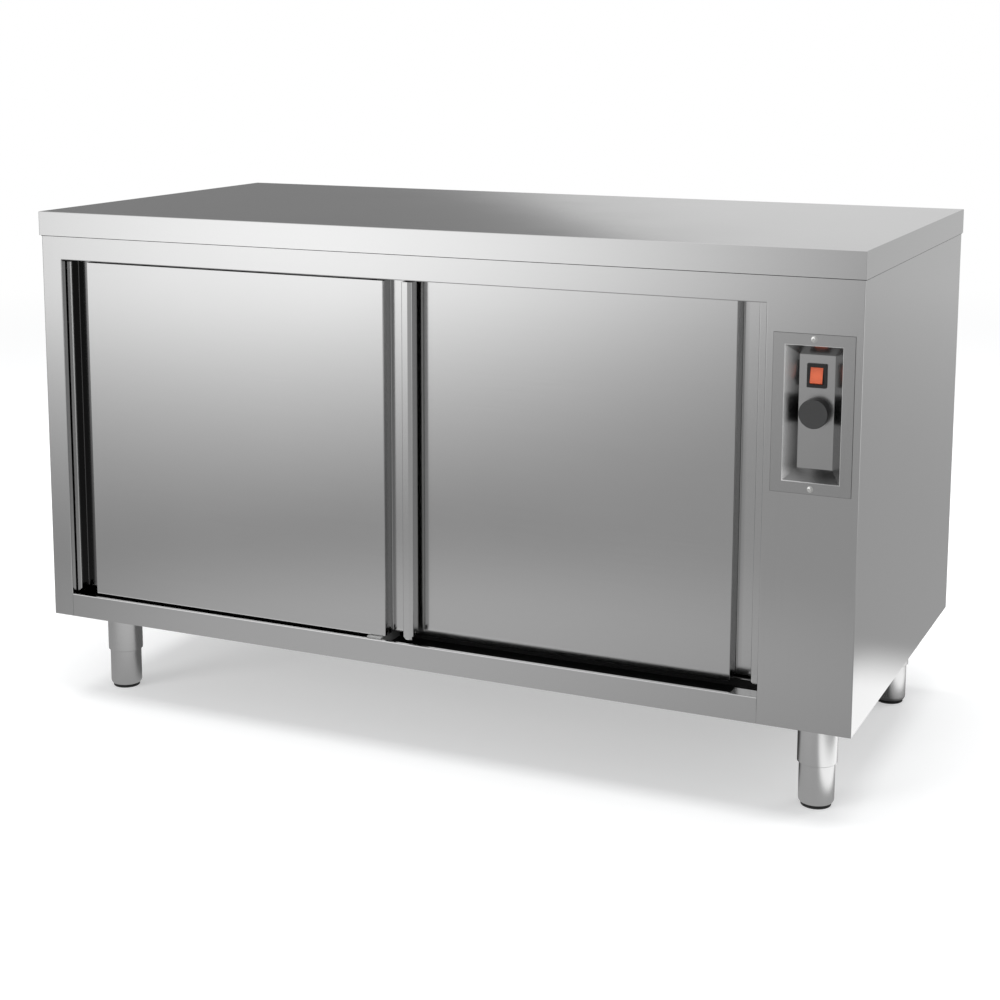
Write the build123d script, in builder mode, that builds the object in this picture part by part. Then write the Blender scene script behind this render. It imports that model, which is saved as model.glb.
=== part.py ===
"""Plate warmer cabinet: a heated stainless cupboard with two sliding doors and a control column.

Millimetres. +Z is up, the front faces -Y and +X is to the right of someone standing in front.
The origin is on the floor, under the middle of the worktop.
"""

from build123d import *
from math import cos, hypot, radians, sin
import os

os.makedirs("parts", exist_ok=True)

# ---- overall ----
LENGTH = 1400.0
DEPTH = 700.0
HEIGHT = 850.0
LEG_HEIGHT = 150.0
SHEET = 1.0
BEND = 1.5

# ---- worktop ----
TOP_THICK = 40.0
TOP_SHEET = 1.5
TOP_RETURN = 15.0
TOP_EDGE_RADIUS = 1.2
BOARD_THICK = 18.0
BOARD_GAP = 2.0
RAIL_COUNT = 3
RAIL_PITCH = 400.0
RAIL_WIDTH = 60.0

# ---- body shell ----
SIDE_INSET = 2.0
FRONT_INSET = 4.5
REAR_INSET = 3.0
STILE_WIDTH = 38.5
COLUMN_WIDTH = 139.5
HEADER_HEIGHT = 40.5
SILL_HEIGHT = 39.5
OPENING_RETURN = 10.0
TOP_FLANGE = 20.0
REAR_FLANGE = 25.0
SEAM = 0.4
WALL = 24.0
CAVITY_SETBACK = 3.0
PAN_FLANGE = 20.0
VENT_SLOTS = 8
VENT_PITCH = 14.0
VENT_SIZE = (70.0, 5.0)

# ---- door lanes ----
LANE_FRONT = 13.0
LANE_GAP = 8.0
LANE_REAR_GAP = 9.0
HEM = 6.5
TRACK_DROP = 14.5
DECK_LAP = 15.0
SILL_TAB = (41.5, 22.0)

# ---- doors ----
DOOR_OVERLAP = 97.5
DOOR_THICK = 22.0
DOOR_BOTTOM_GAP = 3.3
DOOR_TOP_GAP = 4.0
DOOR_BEHIND_STILE = 7.5
DOOR_SHORT_OF_COLUMN = 5.0
LIP = 17.5
LIP_FACET = 7.0
LIP_FALL = 1.5
GRIP = 31.75
GRIP_SLANT = 3.0
LIP_RETURN = 15.0
END_STEP = 5.5
LIP_CHAMFER = 5.0
OUTER_CHAMFER = 2.0
SKIN_LAP = 3.0
GROOVE_WIDTH = 7.5
GROOVE_DEPTH = 12.0

# ---- hanging gear ----
TRACK_GAP = 4.0
TRACK_HEIGHT = 30.0
TRACK_WALL = 1.5
TRACK_SLOT = 8.0
HANGER_INSET = 90.0
HANGER_WIDTH = 40.0
HANGER_PLATE = 3.0
HANGER_FOOT_SETBACK = 2.0
HANGER_RIM = 4.0
WHEEL_RADIUS = 10.0
WHEEL_WIDTH = 5.0
WHEEL_TREAD = 8.0
AXLE_RADIUS = 2.5
RUNNING_FIT = 0.05
CLEAR = 0.3
BUFFER_LENGTH = 10.0
BUFFER_HEIGHT = 18.0

# ---- bottom guide ----
GUIDE_LENGTH = 25.0
GUIDE_FROM_DOOR_END = 54.0
GUIDE_FIN = 4.0
GUIDE_FIN_RISE = 10.0
GUIDE_BODY_RISE = 2.0
LINER_DROP = 2.0

# ---- shelf ----
SHELF_RISE = 290.5
SHELF_GAP = 2.0
SHELF_EDGE = 25.0
SHELF_SETBACK = 6.0
SHELF_HOLE = 8.0
SHELF_HOLE_PITCH = (120.0, 110.0)
ANGLE_LEG = 20.0
ANGLE_THICK = 1.5
ANGLE_SETBACK = 35.0

# ---- controls ----
CONTROL_DROP = 195.0
PLATE_SIZE = (116.7, 229.0)
MOUTH_SIZE = (83.0, 195.7)
RECESS_DEPTH = 22.0
RECESS_RUN = 15.8
CUTOUT_GAP = 0.8
SCREW_FROM_END = 7.2
SCREW_HEAD = 4.6
SCREW_RISE = 2.2
SCREW_SHANK = 1.9
SCREW_LENGTH = 10.0
SCREW_SLOT = 1.1
SCREW_SLOT_ANGLE = 45.0
SWITCH_RISE = 52.5
BEZEL_SIZE = (28.5, 34.6)
BEZEL_THICK = 3.0
SWITCH_BODY = (24.0, 30.0)
SWITCH_BODY_DEPTH = 24.0
ROCKER_WIDTH = 18.2
ROCKER_SWING = 12.0
ROCKER_FACE = 4.5
ROCKER_BACK = 5.0
ROCKER_DEPTH = 3.2
ROCKER_TILT = 10.0
ROCKER_GAP = 0.4
ROCKER_PIN = 1.5
ROCKER_PIN_LENGTH = 2.2
KNOB_RADIUS = 21.0
KNOB_SETBACK = 4.5
KNOB_CHAMFER = 0.7
KNOB_SHAFT = 3.0
KNOB_SHAFT_LENGTH = 18.0
THERMOSTAT_SIZE = (40.0, 34.0, 44.0)
BUSH_RADIUS = 5.0
PROBE_TUBE = 1.0
PROBE_BULB = 3.5
PROBE_BULB_LENGTH = 90.0
PROBE_BEND = 14.0
PROBE_BACK = 60.0
PROBE_RISE = 85.0

# ---- heater and fan ----
FAN_DROP = 150.0
DUCT_SIZE = (240.0, 380.0)
DUCT_DEPTH = 55.0
DUCT_BELOW_FAN = 130.0
DUCT_FLANGE = 12.0
INLET_RINGS = ((0.0, 1), (22.0, 8), (44.0, 14))
INLET_HOLE = 7.0
OUTLET_SLOT = (14.0, 36.0)
OUTLET_COUNT = 6
OUTLET_PITCH = 32.0
OUTLET_LEVELS = (-100.0, 215.0)
COIL_RADIUS = 92.0
COIL_TUBE = 4.25
COIL_GAP_ANGLE = 24.0
COIL_STATION = 26.0
IMPELLER_RADIUS = 70.0
IMPELLER_WIDTH = 28.0
IMPELLER_BLADES = 10
IMPELLER_PLATE = 2.0
IMPELLER_HUB = 12.0
FAN_SHAFT = 4.0
MOTOR_RADIUS = 34.0
MOTOR_LENGTH = 58.0
MOTOR_FLANGE = 90.0
MOTOR_FLANGE_THICK = 3.0

# ---- electrics ----
TERMINAL_SIZE = (22.0, 70.0, 20.0)
TERMINAL_WAYS = 6
GLAND_BORE = 5.5
GLAND_BODY = 9.0
GLAND_NUT = 13.0
GLAND_DROP = 20.0
GLAND_RISE = 12.0
GLAND_FROM_BACK = 200.0

# ---- legs ----
LEG_SIDE_INSET = 75.0
LEG_FRONT_INSET = 106.0
LEG_REAR_INSET = 100.0
SLEEVE_RADIUS = 30.0
SLEEVE_WALL = 1.5
SLEEVE_LENGTH = 82.0
SLEEVE_CHAMFER = 1.0
LEG_PLATE = 90.0
LEG_PLATE_THICK = 3.0
LEG_PLATE_CORNER = 8.0
LEG_BOLT_PITCH = 72.0
BOLT_RADIUS = 3.0
BOLT_GAP = 0.2
BOLT_HEAD = 5.0
BOLT_HEAD_HEIGHT = 4.0
BOLT_STANDING = 5.0
BOLT_SIDES = 6
SPINDLE_RADIUS = 8.0
FOOT_FIT = 1.5
FOOT_WALL = 2.0
FOOT_TRAVEL = 40.0
FOOT_HOLD = 20.0
FOOT_NUT = 8.0
FOOT_GUIDE = 16.0
FOOT_ROUND = 7.0
CAP_THICK = 4.0
CAP_INSET = 4.0

# ---- places that follow ----
LEFT = -LENGTH / 2 + SIDE_INSET
RIGHT = LENGTH / 2 - SIDE_INSET
FRONT = -DEPTH / 2 + FRONT_INSET
BACK = DEPTH / 2 - REAR_INSET
BOTTOM = LEG_HEIGHT
TOP = HEIGHT - TOP_THICK
OPEN_LEFT = LEFT + STILE_WIDTH
OPEN_RIGHT = RIGHT - COLUMN_WIDTH
OPEN_BOTTOM = BOTTOM + SILL_HEIGHT
OPEN_TOP = TOP - HEADER_HEIGHT
LANE_PITCH = DOOR_THICK + LANE_GAP
LANE_BACK = FRONT + LANE_FRONT + LANE_PITCH + DOOR_THICK + LANE_REAR_GAP
CAVITY_FRONT = LANE_BACK + CAVITY_SETBACK
CAVITY_BACK = BACK - WALL - SHEET
CAVITY_TOP = OPEN_TOP - BEND
REAR_SKIN = BACK - SHEET
DECK = OPEN_BOTTOM
SHELF_LEVEL = DECK + SHELF_RISE
DOOR_BOTTOM = OPEN_BOTTOM + DOOR_BOTTOM_GAP
DOOR_TOP = OPEN_TOP - DOOR_TOP_GAP
PANEL_START = LIP + GRIP
GRIP_DEPTH = DOOR_THICK - 2 * SHEET
HANGER_FOOT = DOOR_THICK - 2 * HANGER_FOOT_SETBACK
TRACK_WIDTH = LANE_PITCH - TRACK_GAP
TRACK_TOP = TOP - SHEET
TRACK_FLOOR = TRACK_TOP - TRACK_HEIGHT + TRACK_WALL
WHEEL_LEVEL = TRACK_FLOOR + WHEEL_RADIUS + CLEAR
DOOR_SPAN = OPEN_RIGHT - DOOR_SHORT_OF_COLUMN - OPEN_LEFT + DOOR_BEHIND_STILE
DOOR_WIDTH = (DOOR_SPAN + DOOR_OVERLAP) / 2
LEFT_DOOR = (OPEN_LEFT - DOOR_BEHIND_STILE, FRONT + LANE_FRONT)
RIGHT_DOOR = (OPEN_RIGHT - DOOR_SHORT_OF_COLUMN - DOOR_WIDTH, FRONT + LANE_FRONT + LANE_PITCH)
DOOR_TRAVEL = OPEN_RIGHT - SILL_TAB[0] - LEFT_DOOR[0] - DOOR_WIDTH
GUIDE_X = LEFT_DOOR[0] + DOOR_WIDTH - GUIDE_FROM_DOOR_END
CONTROL_X = (OPEN_RIGHT + RIGHT) / 2
CONTROL_Z = TOP - CONTROL_DROP
PLATE_FRONT = FRONT - SHEET
RECESS_FLOOR = PLATE_FRONT + RECESS_DEPTH
SWITCH_Z = CONTROL_Z + SWITCH_RISE
BEZEL_FRONT = RECESS_FLOOR - BEZEL_THICK
FAN_Z = SHELF_LEVEL - FAN_DROP
DUCT_BACK = OPEN_RIGHT + SHEET + DUCT_DEPTH
SCREW_PLACES = [(CONTROL_X, CONTROL_Z + s * (PLATE_SIZE[1] / 2 - SCREW_FROM_END)) for s in (1, -1)]
FOOT_RADIUS = SLEEVE_RADIUS - SLEEVE_WALL - FOOT_FIT
CAP_RADIUS = FOOT_RADIUS - CAP_INSET
LEG_PLACES = [
    (side * (LENGTH / 2 - LEG_SIDE_INSET), y)
    for side in (-1, 1)
    for y in (-DEPTH / 2 + LEG_FRONT_INSET, DEPTH / 2 - LEG_REAR_INSET)
]
GLAND_PLACE = (CONTROL_X, DEPTH / 2 - GLAND_FROM_BACK)
PROBE_PASS = (RECESS_FLOOR + PROBE_BACK, CONTROL_Z + PROBE_RISE)
COIL_TURN = radians(COIL_GAP_ANGLE / 2)
COIL_REACH = (COIL_RADIUS * sin(COIL_TURN), COIL_RADIUS * cos(COIL_TURN))
COIL_ENDS = [(side * COIL_REACH[0], FAN_Z + COIL_REACH[1]) for side in (-1, 1)]
DOORS = (("left", *LEFT_DOOR, DOOR_TRAVEL), ("right", *RIGHT_DOOR, -DOOR_TRAVEL))


def recess_half(mouth, depth, outer=False):
    """Half the recess's width at a depth behind the plate's face, on its inner or outer skin."""
    slope = RECESS_RUN / RECESS_DEPTH
    return mouth / 2 - slope * depth + outer * SHEET * hypot(1, slope)


def save(part, name):
    """Label one finished sub-part and write it."""
    part.label = name
    export_step(part, f"parts/{name}.step")


def folded(points, side):
    """Face of one folded sheet, from the line of its outer skin."""
    with BuildLine() as skin:
        FilletPolyline(*points, radius=BEND)
        offset(amount=SHEET, side=side)
    make_face(skin.edges())


def block(low, high, mode=Mode.ADD):
    """Box between two opposite corners."""
    sizes = [b - a for a, b in zip(low, high)]
    with Locations(tuple((a + b) / 2 for a, b in zip(low, high))):
        Box(*sizes, mode=mode)


def square_off(x_low, x_high, z_low, z_high):
    """Swap the turned-in edge of an upright for a plain one where a cross rail butts against it."""
    block((x_low, FRONT, z_low), (x_high, FRONT + OPENING_RETURN + SHEET, z_high), mode=Mode.SUBTRACT)
    block((x_low, FRONT, z_low), (x_high, FRONT + SHEET, z_high))


# ---- worktop ----
with BuildPart() as worktop:
    with BuildSketch(Plane.XY.offset(TOP)):
        Rectangle(LENGTH, DEPTH)
    extrude(amount=TOP_THICK)
    fillet(worktop.edges().filter_by(Axis.Z), TOP_EDGE_RADIUS)
    fillet(worktop.faces().sort_by(Axis.Z)[-1].edges(), TOP_EDGE_RADIUS)
    with BuildSketch(Plane.XY.offset(TOP + TOP_SHEET)):
        Rectangle(LENGTH - 2 * TOP_SHEET, DEPTH - 2 * TOP_SHEET)
    extrude(amount=TOP_THICK - 2 * TOP_SHEET, mode=Mode.SUBTRACT)
    with BuildSketch(Plane.XY.offset(TOP)):
        Rectangle(LENGTH - 2 * TOP_RETURN, DEPTH - 2 * TOP_RETURN)
    extrude(amount=TOP_SHEET, mode=Mode.SUBTRACT)
save(worktop.part, "worktop")

BOARD_UNDER = HEIGHT - TOP_SHEET - BOARD_THICK
with BuildPart() as worktop_board:
    with BuildSketch(Plane.XY.offset(BOARD_UNDER)):
        Rectangle(LENGTH - 2 * (TOP_SHEET + BOARD_GAP), DEPTH - 2 * (TOP_SHEET + BOARD_GAP))
    extrude(amount=BOARD_THICK)
save(worktop_board.part, "worktop_board")

RAIL_RISE = BOARD_UNDER - TOP - TOP_SHEET
with BuildPart() as worktop_rails:
    with BuildSketch(Plane.XZ.offset(-DEPTH / 2 + TOP_SHEET + BOARD_GAP)):
        with Locations((0, TOP + TOP_SHEET + RAIL_RISE / 2)):
            with GridLocations(RAIL_PITCH, 0, RAIL_COUNT, 1):
                Rectangle(RAIL_WIDTH, RAIL_RISE)
        with Locations((0, TOP + TOP_SHEET + (RAIL_RISE - SHEET) / 2)):
            with GridLocations(RAIL_PITCH, 0, RAIL_COUNT, 1):
                Rectangle(RAIL_WIDTH - 2 * SHEET, RAIL_RISE - SHEET, mode=Mode.SUBTRACT)
    extrude(amount=DEPTH - 2 * (TOP_SHEET + BOARD_GAP))
save(worktop_rails.part, "worktop_rails")

# ---- body shell ----
FLANGE_END = REAR_SKIN - PAN_FLANGE - CLEAR
with BuildPart() as left_side_panel:
    with BuildSketch(Plane.XY.offset(BOTTOM)):
        folded(
            [
                (OPEN_LEFT, FRONT + OPENING_RETURN),
                (OPEN_LEFT, FRONT),
                (LEFT, FRONT),
                (LEFT, BACK),
                (LEFT + REAR_FLANGE, BACK),
            ],
            Side.RIGHT,
        )
    extrude(amount=TOP - BOTTOM)
    for z_low, z_high in ((BOTTOM, OPEN_BOTTOM), (OPEN_TOP, TOP)):
        square_off(OPEN_LEFT - BEND - SHEET, OPEN_LEFT, z_low, z_high)
    block((LEFT + SHEET, FRONT + SHEET, TOP - SHEET), (LEFT + TOP_FLANGE, FLANGE_END, TOP))
save(left_side_panel.part, "left_side_panel")

with BuildPart() as right_side_panel:
    with BuildSketch(Plane.XY.offset(BOTTOM)):
        folded(
            [
                (OPEN_RIGHT, FRONT + OPENING_RETURN),
                (OPEN_RIGHT, FRONT),
                (RIGHT, FRONT),
                (RIGHT, BACK),
                (RIGHT - REAR_FLANGE, BACK),
            ],
            Side.LEFT,
        )
    extrude(amount=TOP - BOTTOM)
    for z_low, z_high in ((BOTTOM, OPEN_BOTTOM), (OPEN_TOP, TOP)):
        square_off(OPEN_RIGHT, OPEN_RIGHT + BEND + SHEET, z_low, z_high)
    block((RIGHT - TOP_FLANGE, FRONT + SHEET, TOP - SHEET), (RIGHT - SHEET, FLANGE_END, TOP))
    with BuildSketch(Plane.XZ.offset(-FRONT)):
        with Locations((CONTROL_X, CONTROL_Z)):
            Rectangle(*[2 * (recess_half(mouth, SHEET, True) + CUTOUT_GAP) for mouth in MOUTH_SIZE])
        with Locations(*SCREW_PLACES):
            Circle(SCREW_SHANK + BOLT_GAP)
    extrude(amount=-SHEET, mode=Mode.SUBTRACT)
save(right_side_panel.part, "right_side_panel")

with BuildPart() as header_rail:
    with BuildSketch(Plane.YZ.offset(OPEN_LEFT)):
        folded(
            [
                (FRONT + OPENING_RETURN, OPEN_TOP),
                (FRONT, OPEN_TOP),
                (FRONT, TOP),
                (CAVITY_FRONT + 2 * SHEET, TOP),
            ],
            Side.RIGHT,
        )
    extrude(amount=OPEN_RIGHT - OPEN_LEFT)
save(header_rail.part, "header_rail")

with BuildPart() as bottom_rail:
    with BuildSketch(Plane.YZ.offset(OPEN_LEFT + SEAM)):
        folded(
            [
                (FRONT, BOTTOM),
                (FRONT, OPEN_BOTTOM),
                (FRONT + HEM, OPEN_BOTTOM),
                (FRONT + HEM, OPEN_BOTTOM - TRACK_DROP),
                (LANE_BACK, OPEN_BOTTOM - TRACK_DROP),
                (LANE_BACK, OPEN_BOTTOM - SHEET),
                (LANE_BACK + DECK_LAP, OPEN_BOTTOM - SHEET),
            ],
            Side.RIGHT,
        )
    extrude(amount=OPEN_RIGHT - OPEN_LEFT - 2 * SEAM)
    block(
        (OPEN_RIGHT - SILL_TAB[0], FRONT + HEM - BEND, OPEN_BOTTOM - SHEET),
        (OPEN_RIGHT - SEAM, FRONT + HEM + SILL_TAB[1], OPEN_BOTTOM),
    )
save(bottom_rail.part, "bottom_rail")

with BuildPart() as rear_panel:
    with BuildSketch(Plane.YZ.offset(LEFT + BEND)):
        folded([(REAR_SKIN, BOTTOM), (REAR_SKIN, TOP), (REAR_SKIN - PAN_FLANGE, TOP)], Side.LEFT)
    extrude(amount=RIGHT - LEFT - 2 * BEND)
    with BuildSketch(Plane.XZ.offset(-REAR_SKIN)):
        with Locations((CONTROL_X, FAN_Z)):
            with GridLocations(0, VENT_PITCH, 1, VENT_SLOTS):
                SlotOverall(*VENT_SIZE)
    extrude(amount=SHEET, mode=Mode.SUBTRACT)
save(rear_panel.part, "rear_panel")

PAN_X = (LEFT + SHEET, RIGHT - SHEET)
PAN_Y = (FRONT + SHEET, REAR_SKIN - SHEET)
with BuildPart() as base_pan:
    block((PAN_X[0], PAN_Y[0], BOTTOM), (PAN_X[1], PAN_Y[1], BOTTOM + PAN_FLANGE))
    fillet(base_pan.edges().filter_by(Axis.Z), BEND)
    block(
        (PAN_X[0] + SHEET, PAN_Y[0] + SHEET, BOTTOM + SHEET),
        (PAN_X[1] - SHEET, PAN_Y[1] - SHEET, BOTTOM + PAN_FLANGE),
        mode=Mode.SUBTRACT,
    )
    with BuildSketch(Plane.XY.offset(BOTTOM)):
        with Locations(*LEG_PLACES):
            with GridLocations(LEG_BOLT_PITCH, LEG_BOLT_PITCH, 2, 2):
                Circle(BOLT_RADIUS + BOLT_GAP)
        with Locations(GLAND_PLACE):
            Circle(GLAND_BODY)
    extrude(amount=SHEET, mode=Mode.SUBTRACT)
save(base_pan.part, "base_pan")

# ---- hot cavity ----
with BuildPart() as left_liner:
    with BuildSketch(Plane.XY.offset(DECK)):
        folded(
            [(LEFT + SHEET, CAVITY_FRONT), (OPEN_LEFT, CAVITY_FRONT), (OPEN_LEFT, CAVITY_BACK)],
            Side.LEFT,
        )
    extrude(amount=CAVITY_TOP - DECK)
save(left_liner.part, "left_liner")

with BuildPart() as right_liner:
    with BuildSketch(Plane.XY.offset(BOTTOM + SHEET)):
        folded(
            [
                (OPEN_RIGHT + PAN_FLANGE, FRONT + OPENING_RETURN + SHEET),
                (OPEN_RIGHT, FRONT + OPENING_RETURN + SHEET),
                (OPEN_RIGHT, CAVITY_BACK),
                (OPEN_RIGHT + PAN_FLANGE, CAVITY_BACK),
            ],
            Side.RIGHT,
        )
    extrude(amount=TOP - BOTTOM - SHEET)
    with BuildSketch(Plane.YZ.offset(OPEN_RIGHT)):
        with Locations((0, FAN_Z)):
            for ring_radius, ring_count in INLET_RINGS:
                with PolarLocations(ring_radius, ring_count):
                    Circle(INLET_HOLE)
            for level in OUTLET_LEVELS:
                with Locations((0, level)):
                    with GridLocations(OUTLET_PITCH, 0, OUTLET_COUNT, 1):
                        SlotOverall(OUTLET_SLOT[1], OUTLET_SLOT[0], rotation=90)
        with Locations(PROBE_PASS):
            Circle(PROBE_TUBE + CLEAR)
    extrude(amount=SHEET, mode=Mode.SUBTRACT)
save(right_liner.part, "right_liner")

with BuildPart() as rear_liner:
    block((LEFT + SHEET, CAVITY_BACK, DECK), (OPEN_RIGHT, CAVITY_BACK + SHEET, CAVITY_TOP + SHEET))
save(rear_liner.part, "rear_liner")

with BuildPart() as ceiling_liner:
    with BuildSketch(Plane.YZ.offset(OPEN_LEFT - SHEET)):
        folded(
            [(CAVITY_FRONT, TOP - SHEET), (CAVITY_FRONT, CAVITY_TOP), (CAVITY_BACK, CAVITY_TOP)],
            Side.LEFT,
        )
    extrude(amount=OPEN_RIGHT - OPEN_LEFT + SHEET)
save(ceiling_liner.part, "ceiling_liner")

with BuildPart() as floor_deck:
    block((LEFT + SHEET, LANE_BACK + CLEAR, DECK - SHEET), (OPEN_RIGHT, REAR_SKIN - SHEET, DECK))
save(floor_deck.part, "floor_deck")

SLAB_REACH = max(abs(x) for x, y in LEG_PLACES) - LEG_PLATE / 2 - CLEAR
SLAB_FRONT = CAVITY_FRONT + SHEET + BEND
with BuildPart() as insulation:
    block((LEFT + SHEET, SLAB_FRONT, DECK), (OPEN_LEFT - SHEET, CAVITY_BACK, CAVITY_TOP))
    block((LEFT + SHEET, CAVITY_BACK + SHEET, DECK), (OPEN_RIGHT, REAR_SKIN - SHEET, CAVITY_TOP + SHEET))
    block(
        (OPEN_LEFT - SHEET, SLAB_FRONT, CAVITY_TOP + SHEET),
        (OPEN_RIGHT, CAVITY_BACK, TOP - SHEET),
    )
    block(
        (-SLAB_REACH, LANE_BACK + DECK_LAP + CLEAR, BOTTOM + SHEET),
        (min(SLAB_REACH, OPEN_RIGHT), PAN_Y[1] - 2 * SHEET, DECK - SHEET),
    )
save(insulation.part, "insulation")

SHELF_SPAN = (OPEN_RIGHT - OPEN_LEFT, CAVITY_BACK - CAVITY_FRONT)
SHELF_HOLES = [int(span // pitch) - 1 for span, pitch in zip(SHELF_SPAN, SHELF_HOLE_PITCH)]
with BuildPart() as shelf:
    with BuildSketch(Plane.YZ.offset(OPEN_LEFT + SHELF_GAP)):
        folded(
            [
                (CAVITY_FRONT + SHELF_SETBACK, SHELF_LEVEL - SHELF_EDGE),
                (CAVITY_FRONT + SHELF_SETBACK, SHELF_LEVEL),
                (CAVITY_BACK - SHELF_GAP, SHELF_LEVEL),
                (CAVITY_BACK - SHELF_GAP, SHELF_LEVEL - SHELF_EDGE),
            ],
            Side.RIGHT,
        )
    extrude(amount=OPEN_RIGHT - OPEN_LEFT - 2 * SHELF_GAP)
    with BuildSketch(Plane.XY.offset(SHELF_LEVEL)):
        with Locations(((OPEN_LEFT + OPEN_RIGHT) / 2, (CAVITY_FRONT + CAVITY_BACK) / 2)):
            with GridLocations(*SHELF_HOLE_PITCH, *SHELF_HOLES):
                Circle(SHELF_HOLE)
    extrude(amount=-SHEET, mode=Mode.SUBTRACT)
save(shelf.part, "shelf")

ANGLE_Y = (CAVITY_FRONT + ANGLE_SETBACK, CAVITY_BACK - ANGLE_SETBACK)
ANGLE_TOP = SHELF_LEVEL - SHEET
with BuildPart() as shelf_angles:
    for wall, inward in ((OPEN_LEFT, 1), (OPEN_RIGHT, -1)):
        with BuildSketch(Plane.XZ.offset(-ANGLE_Y[0])):
            Polygon(
                (wall, ANGLE_TOP),
                (wall + inward * ANGLE_LEG, ANGLE_TOP),
                (wall + inward * ANGLE_LEG, ANGLE_TOP - ANGLE_THICK),
                (wall + inward * ANGLE_THICK, ANGLE_TOP - ANGLE_THICK),
                (wall + inward * ANGLE_THICK, ANGLE_TOP - ANGLE_LEG),
                (wall, ANGLE_TOP - ANGLE_LEG),
                align=None,
            )
        extrude(amount=ANGLE_Y[0] - ANGLE_Y[1])
save(shelf_angles.part, "shelf_angles")

# ---- door tracks and guides ----
TRACK_X = (OPEN_LEFT + SHEET, OPEN_RIGHT - SHEET)
for name, door_x, door_y, travel in DOORS:
    lane = door_y + DOOR_THICK / 2
    with BuildPart() as track:
        with BuildSketch(Plane.YZ.offset(TRACK_X[0])):
            with Locations((lane, TRACK_TOP)):
                Rectangle(TRACK_WIDTH, TRACK_HEIGHT, align=(Align.CENTER, Align.MAX))
            with Locations((lane, TRACK_TOP - TRACK_WALL)):
                Rectangle(
                    TRACK_WIDTH - 2 * TRACK_WALL,
                    TRACK_HEIGHT - 2 * TRACK_WALL,
                    align=(Align.CENTER, Align.MAX),
                    mode=Mode.SUBTRACT,
                )
            with Locations((lane, TRACK_FLOOR)):
                Rectangle(TRACK_SLOT, 2 * TRACK_WALL, mode=Mode.SUBTRACT)
        extrude(amount=TRACK_X[1] - TRACK_X[0])
    save(track.part, f"{name}_door_track")

with BuildPart() as track_buffers:
    for name, door_x, door_y, travel in DOORS:
        first = door_x + HANGER_INSET - HANGER_WIDTH / 2 + min(travel, 0)
        last = door_x + DOOR_WIDTH - HANGER_INSET + HANGER_WIDTH / 2 + max(travel, 0)
        half = TRACK_WIDTH / 2 - TRACK_WALL - CLEAR
        lane = door_y + DOOR_THICK / 2
        for start in (first - BUFFER_LENGTH - CLEAR, last + CLEAR):
            block(
                (start, lane - half, TRACK_FLOOR),
                (start + BUFFER_LENGTH, lane + half, TRACK_FLOOR + BUFFER_HEIGHT),
            )
save(track_buffers.part, "track_buffers")

GUIDE_BASE = OPEN_BOTTOM - TRACK_DROP
with BuildPart() as door_guide:
    block(
        (GUIDE_X - GUIDE_LENGTH, FRONT + HEM, GUIDE_BASE),
        (GUIDE_X, LANE_BACK, OPEN_BOTTOM + GUIDE_BODY_RISE),
    )
    chamfer(door_guide.faces().sort_by(Axis.Z)[0].edges().filter_by(Axis.X), BEND)
    for name, door_x, door_y, travel in DOORS:
        lane = door_y + DOOR_THICK / 2
        block(
            (GUIDE_X - GUIDE_LENGTH, lane - GUIDE_FIN / 2, OPEN_BOTTOM),
            (GUIDE_X, lane + GUIDE_FIN / 2, DOOR_BOTTOM + GUIDE_FIN_RISE),
        )
save(door_guide.part, "door_guide")

LINER_TOP = OPEN_BOTTOM - LINER_DROP
with BuildPart() as track_liner:
    for start, end in (
        (OPEN_LEFT + SEAM, GUIDE_X - GUIDE_LENGTH - CLEAR),
        (GUIDE_X + CLEAR, OPEN_RIGHT - SEAM),
    ):
        with BuildSketch(Plane.YZ.offset(start)):
            folded(
                [
                    (FRONT + HEM, LINER_TOP),
                    (FRONT + HEM, GUIDE_BASE),
                    (LANE_BACK, GUIDE_BASE),
                    (LANE_BACK, LINER_TOP),
                ],
                Side.LEFT,
            )
        extrude(amount=end - start)
save(track_liner.part, "track_liner")

# ---- sliding doors ----
def panel_outline():
    """Line of the door front's outer skin in plan, from one end return to the other."""
    half = [
        (0, LIP_RETURN),
        (0, LIP_FALL),
        (LIP_FACET, 0),
        (LIP, 0),
        (LIP, GRIP_DEPTH),
        (PANEL_START - GRIP_SLANT, GRIP_DEPTH),
        (PANEL_START, 0),
    ]
    return half + [(DOOR_WIDTH - x, y) for x, y in reversed(half)]


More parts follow.
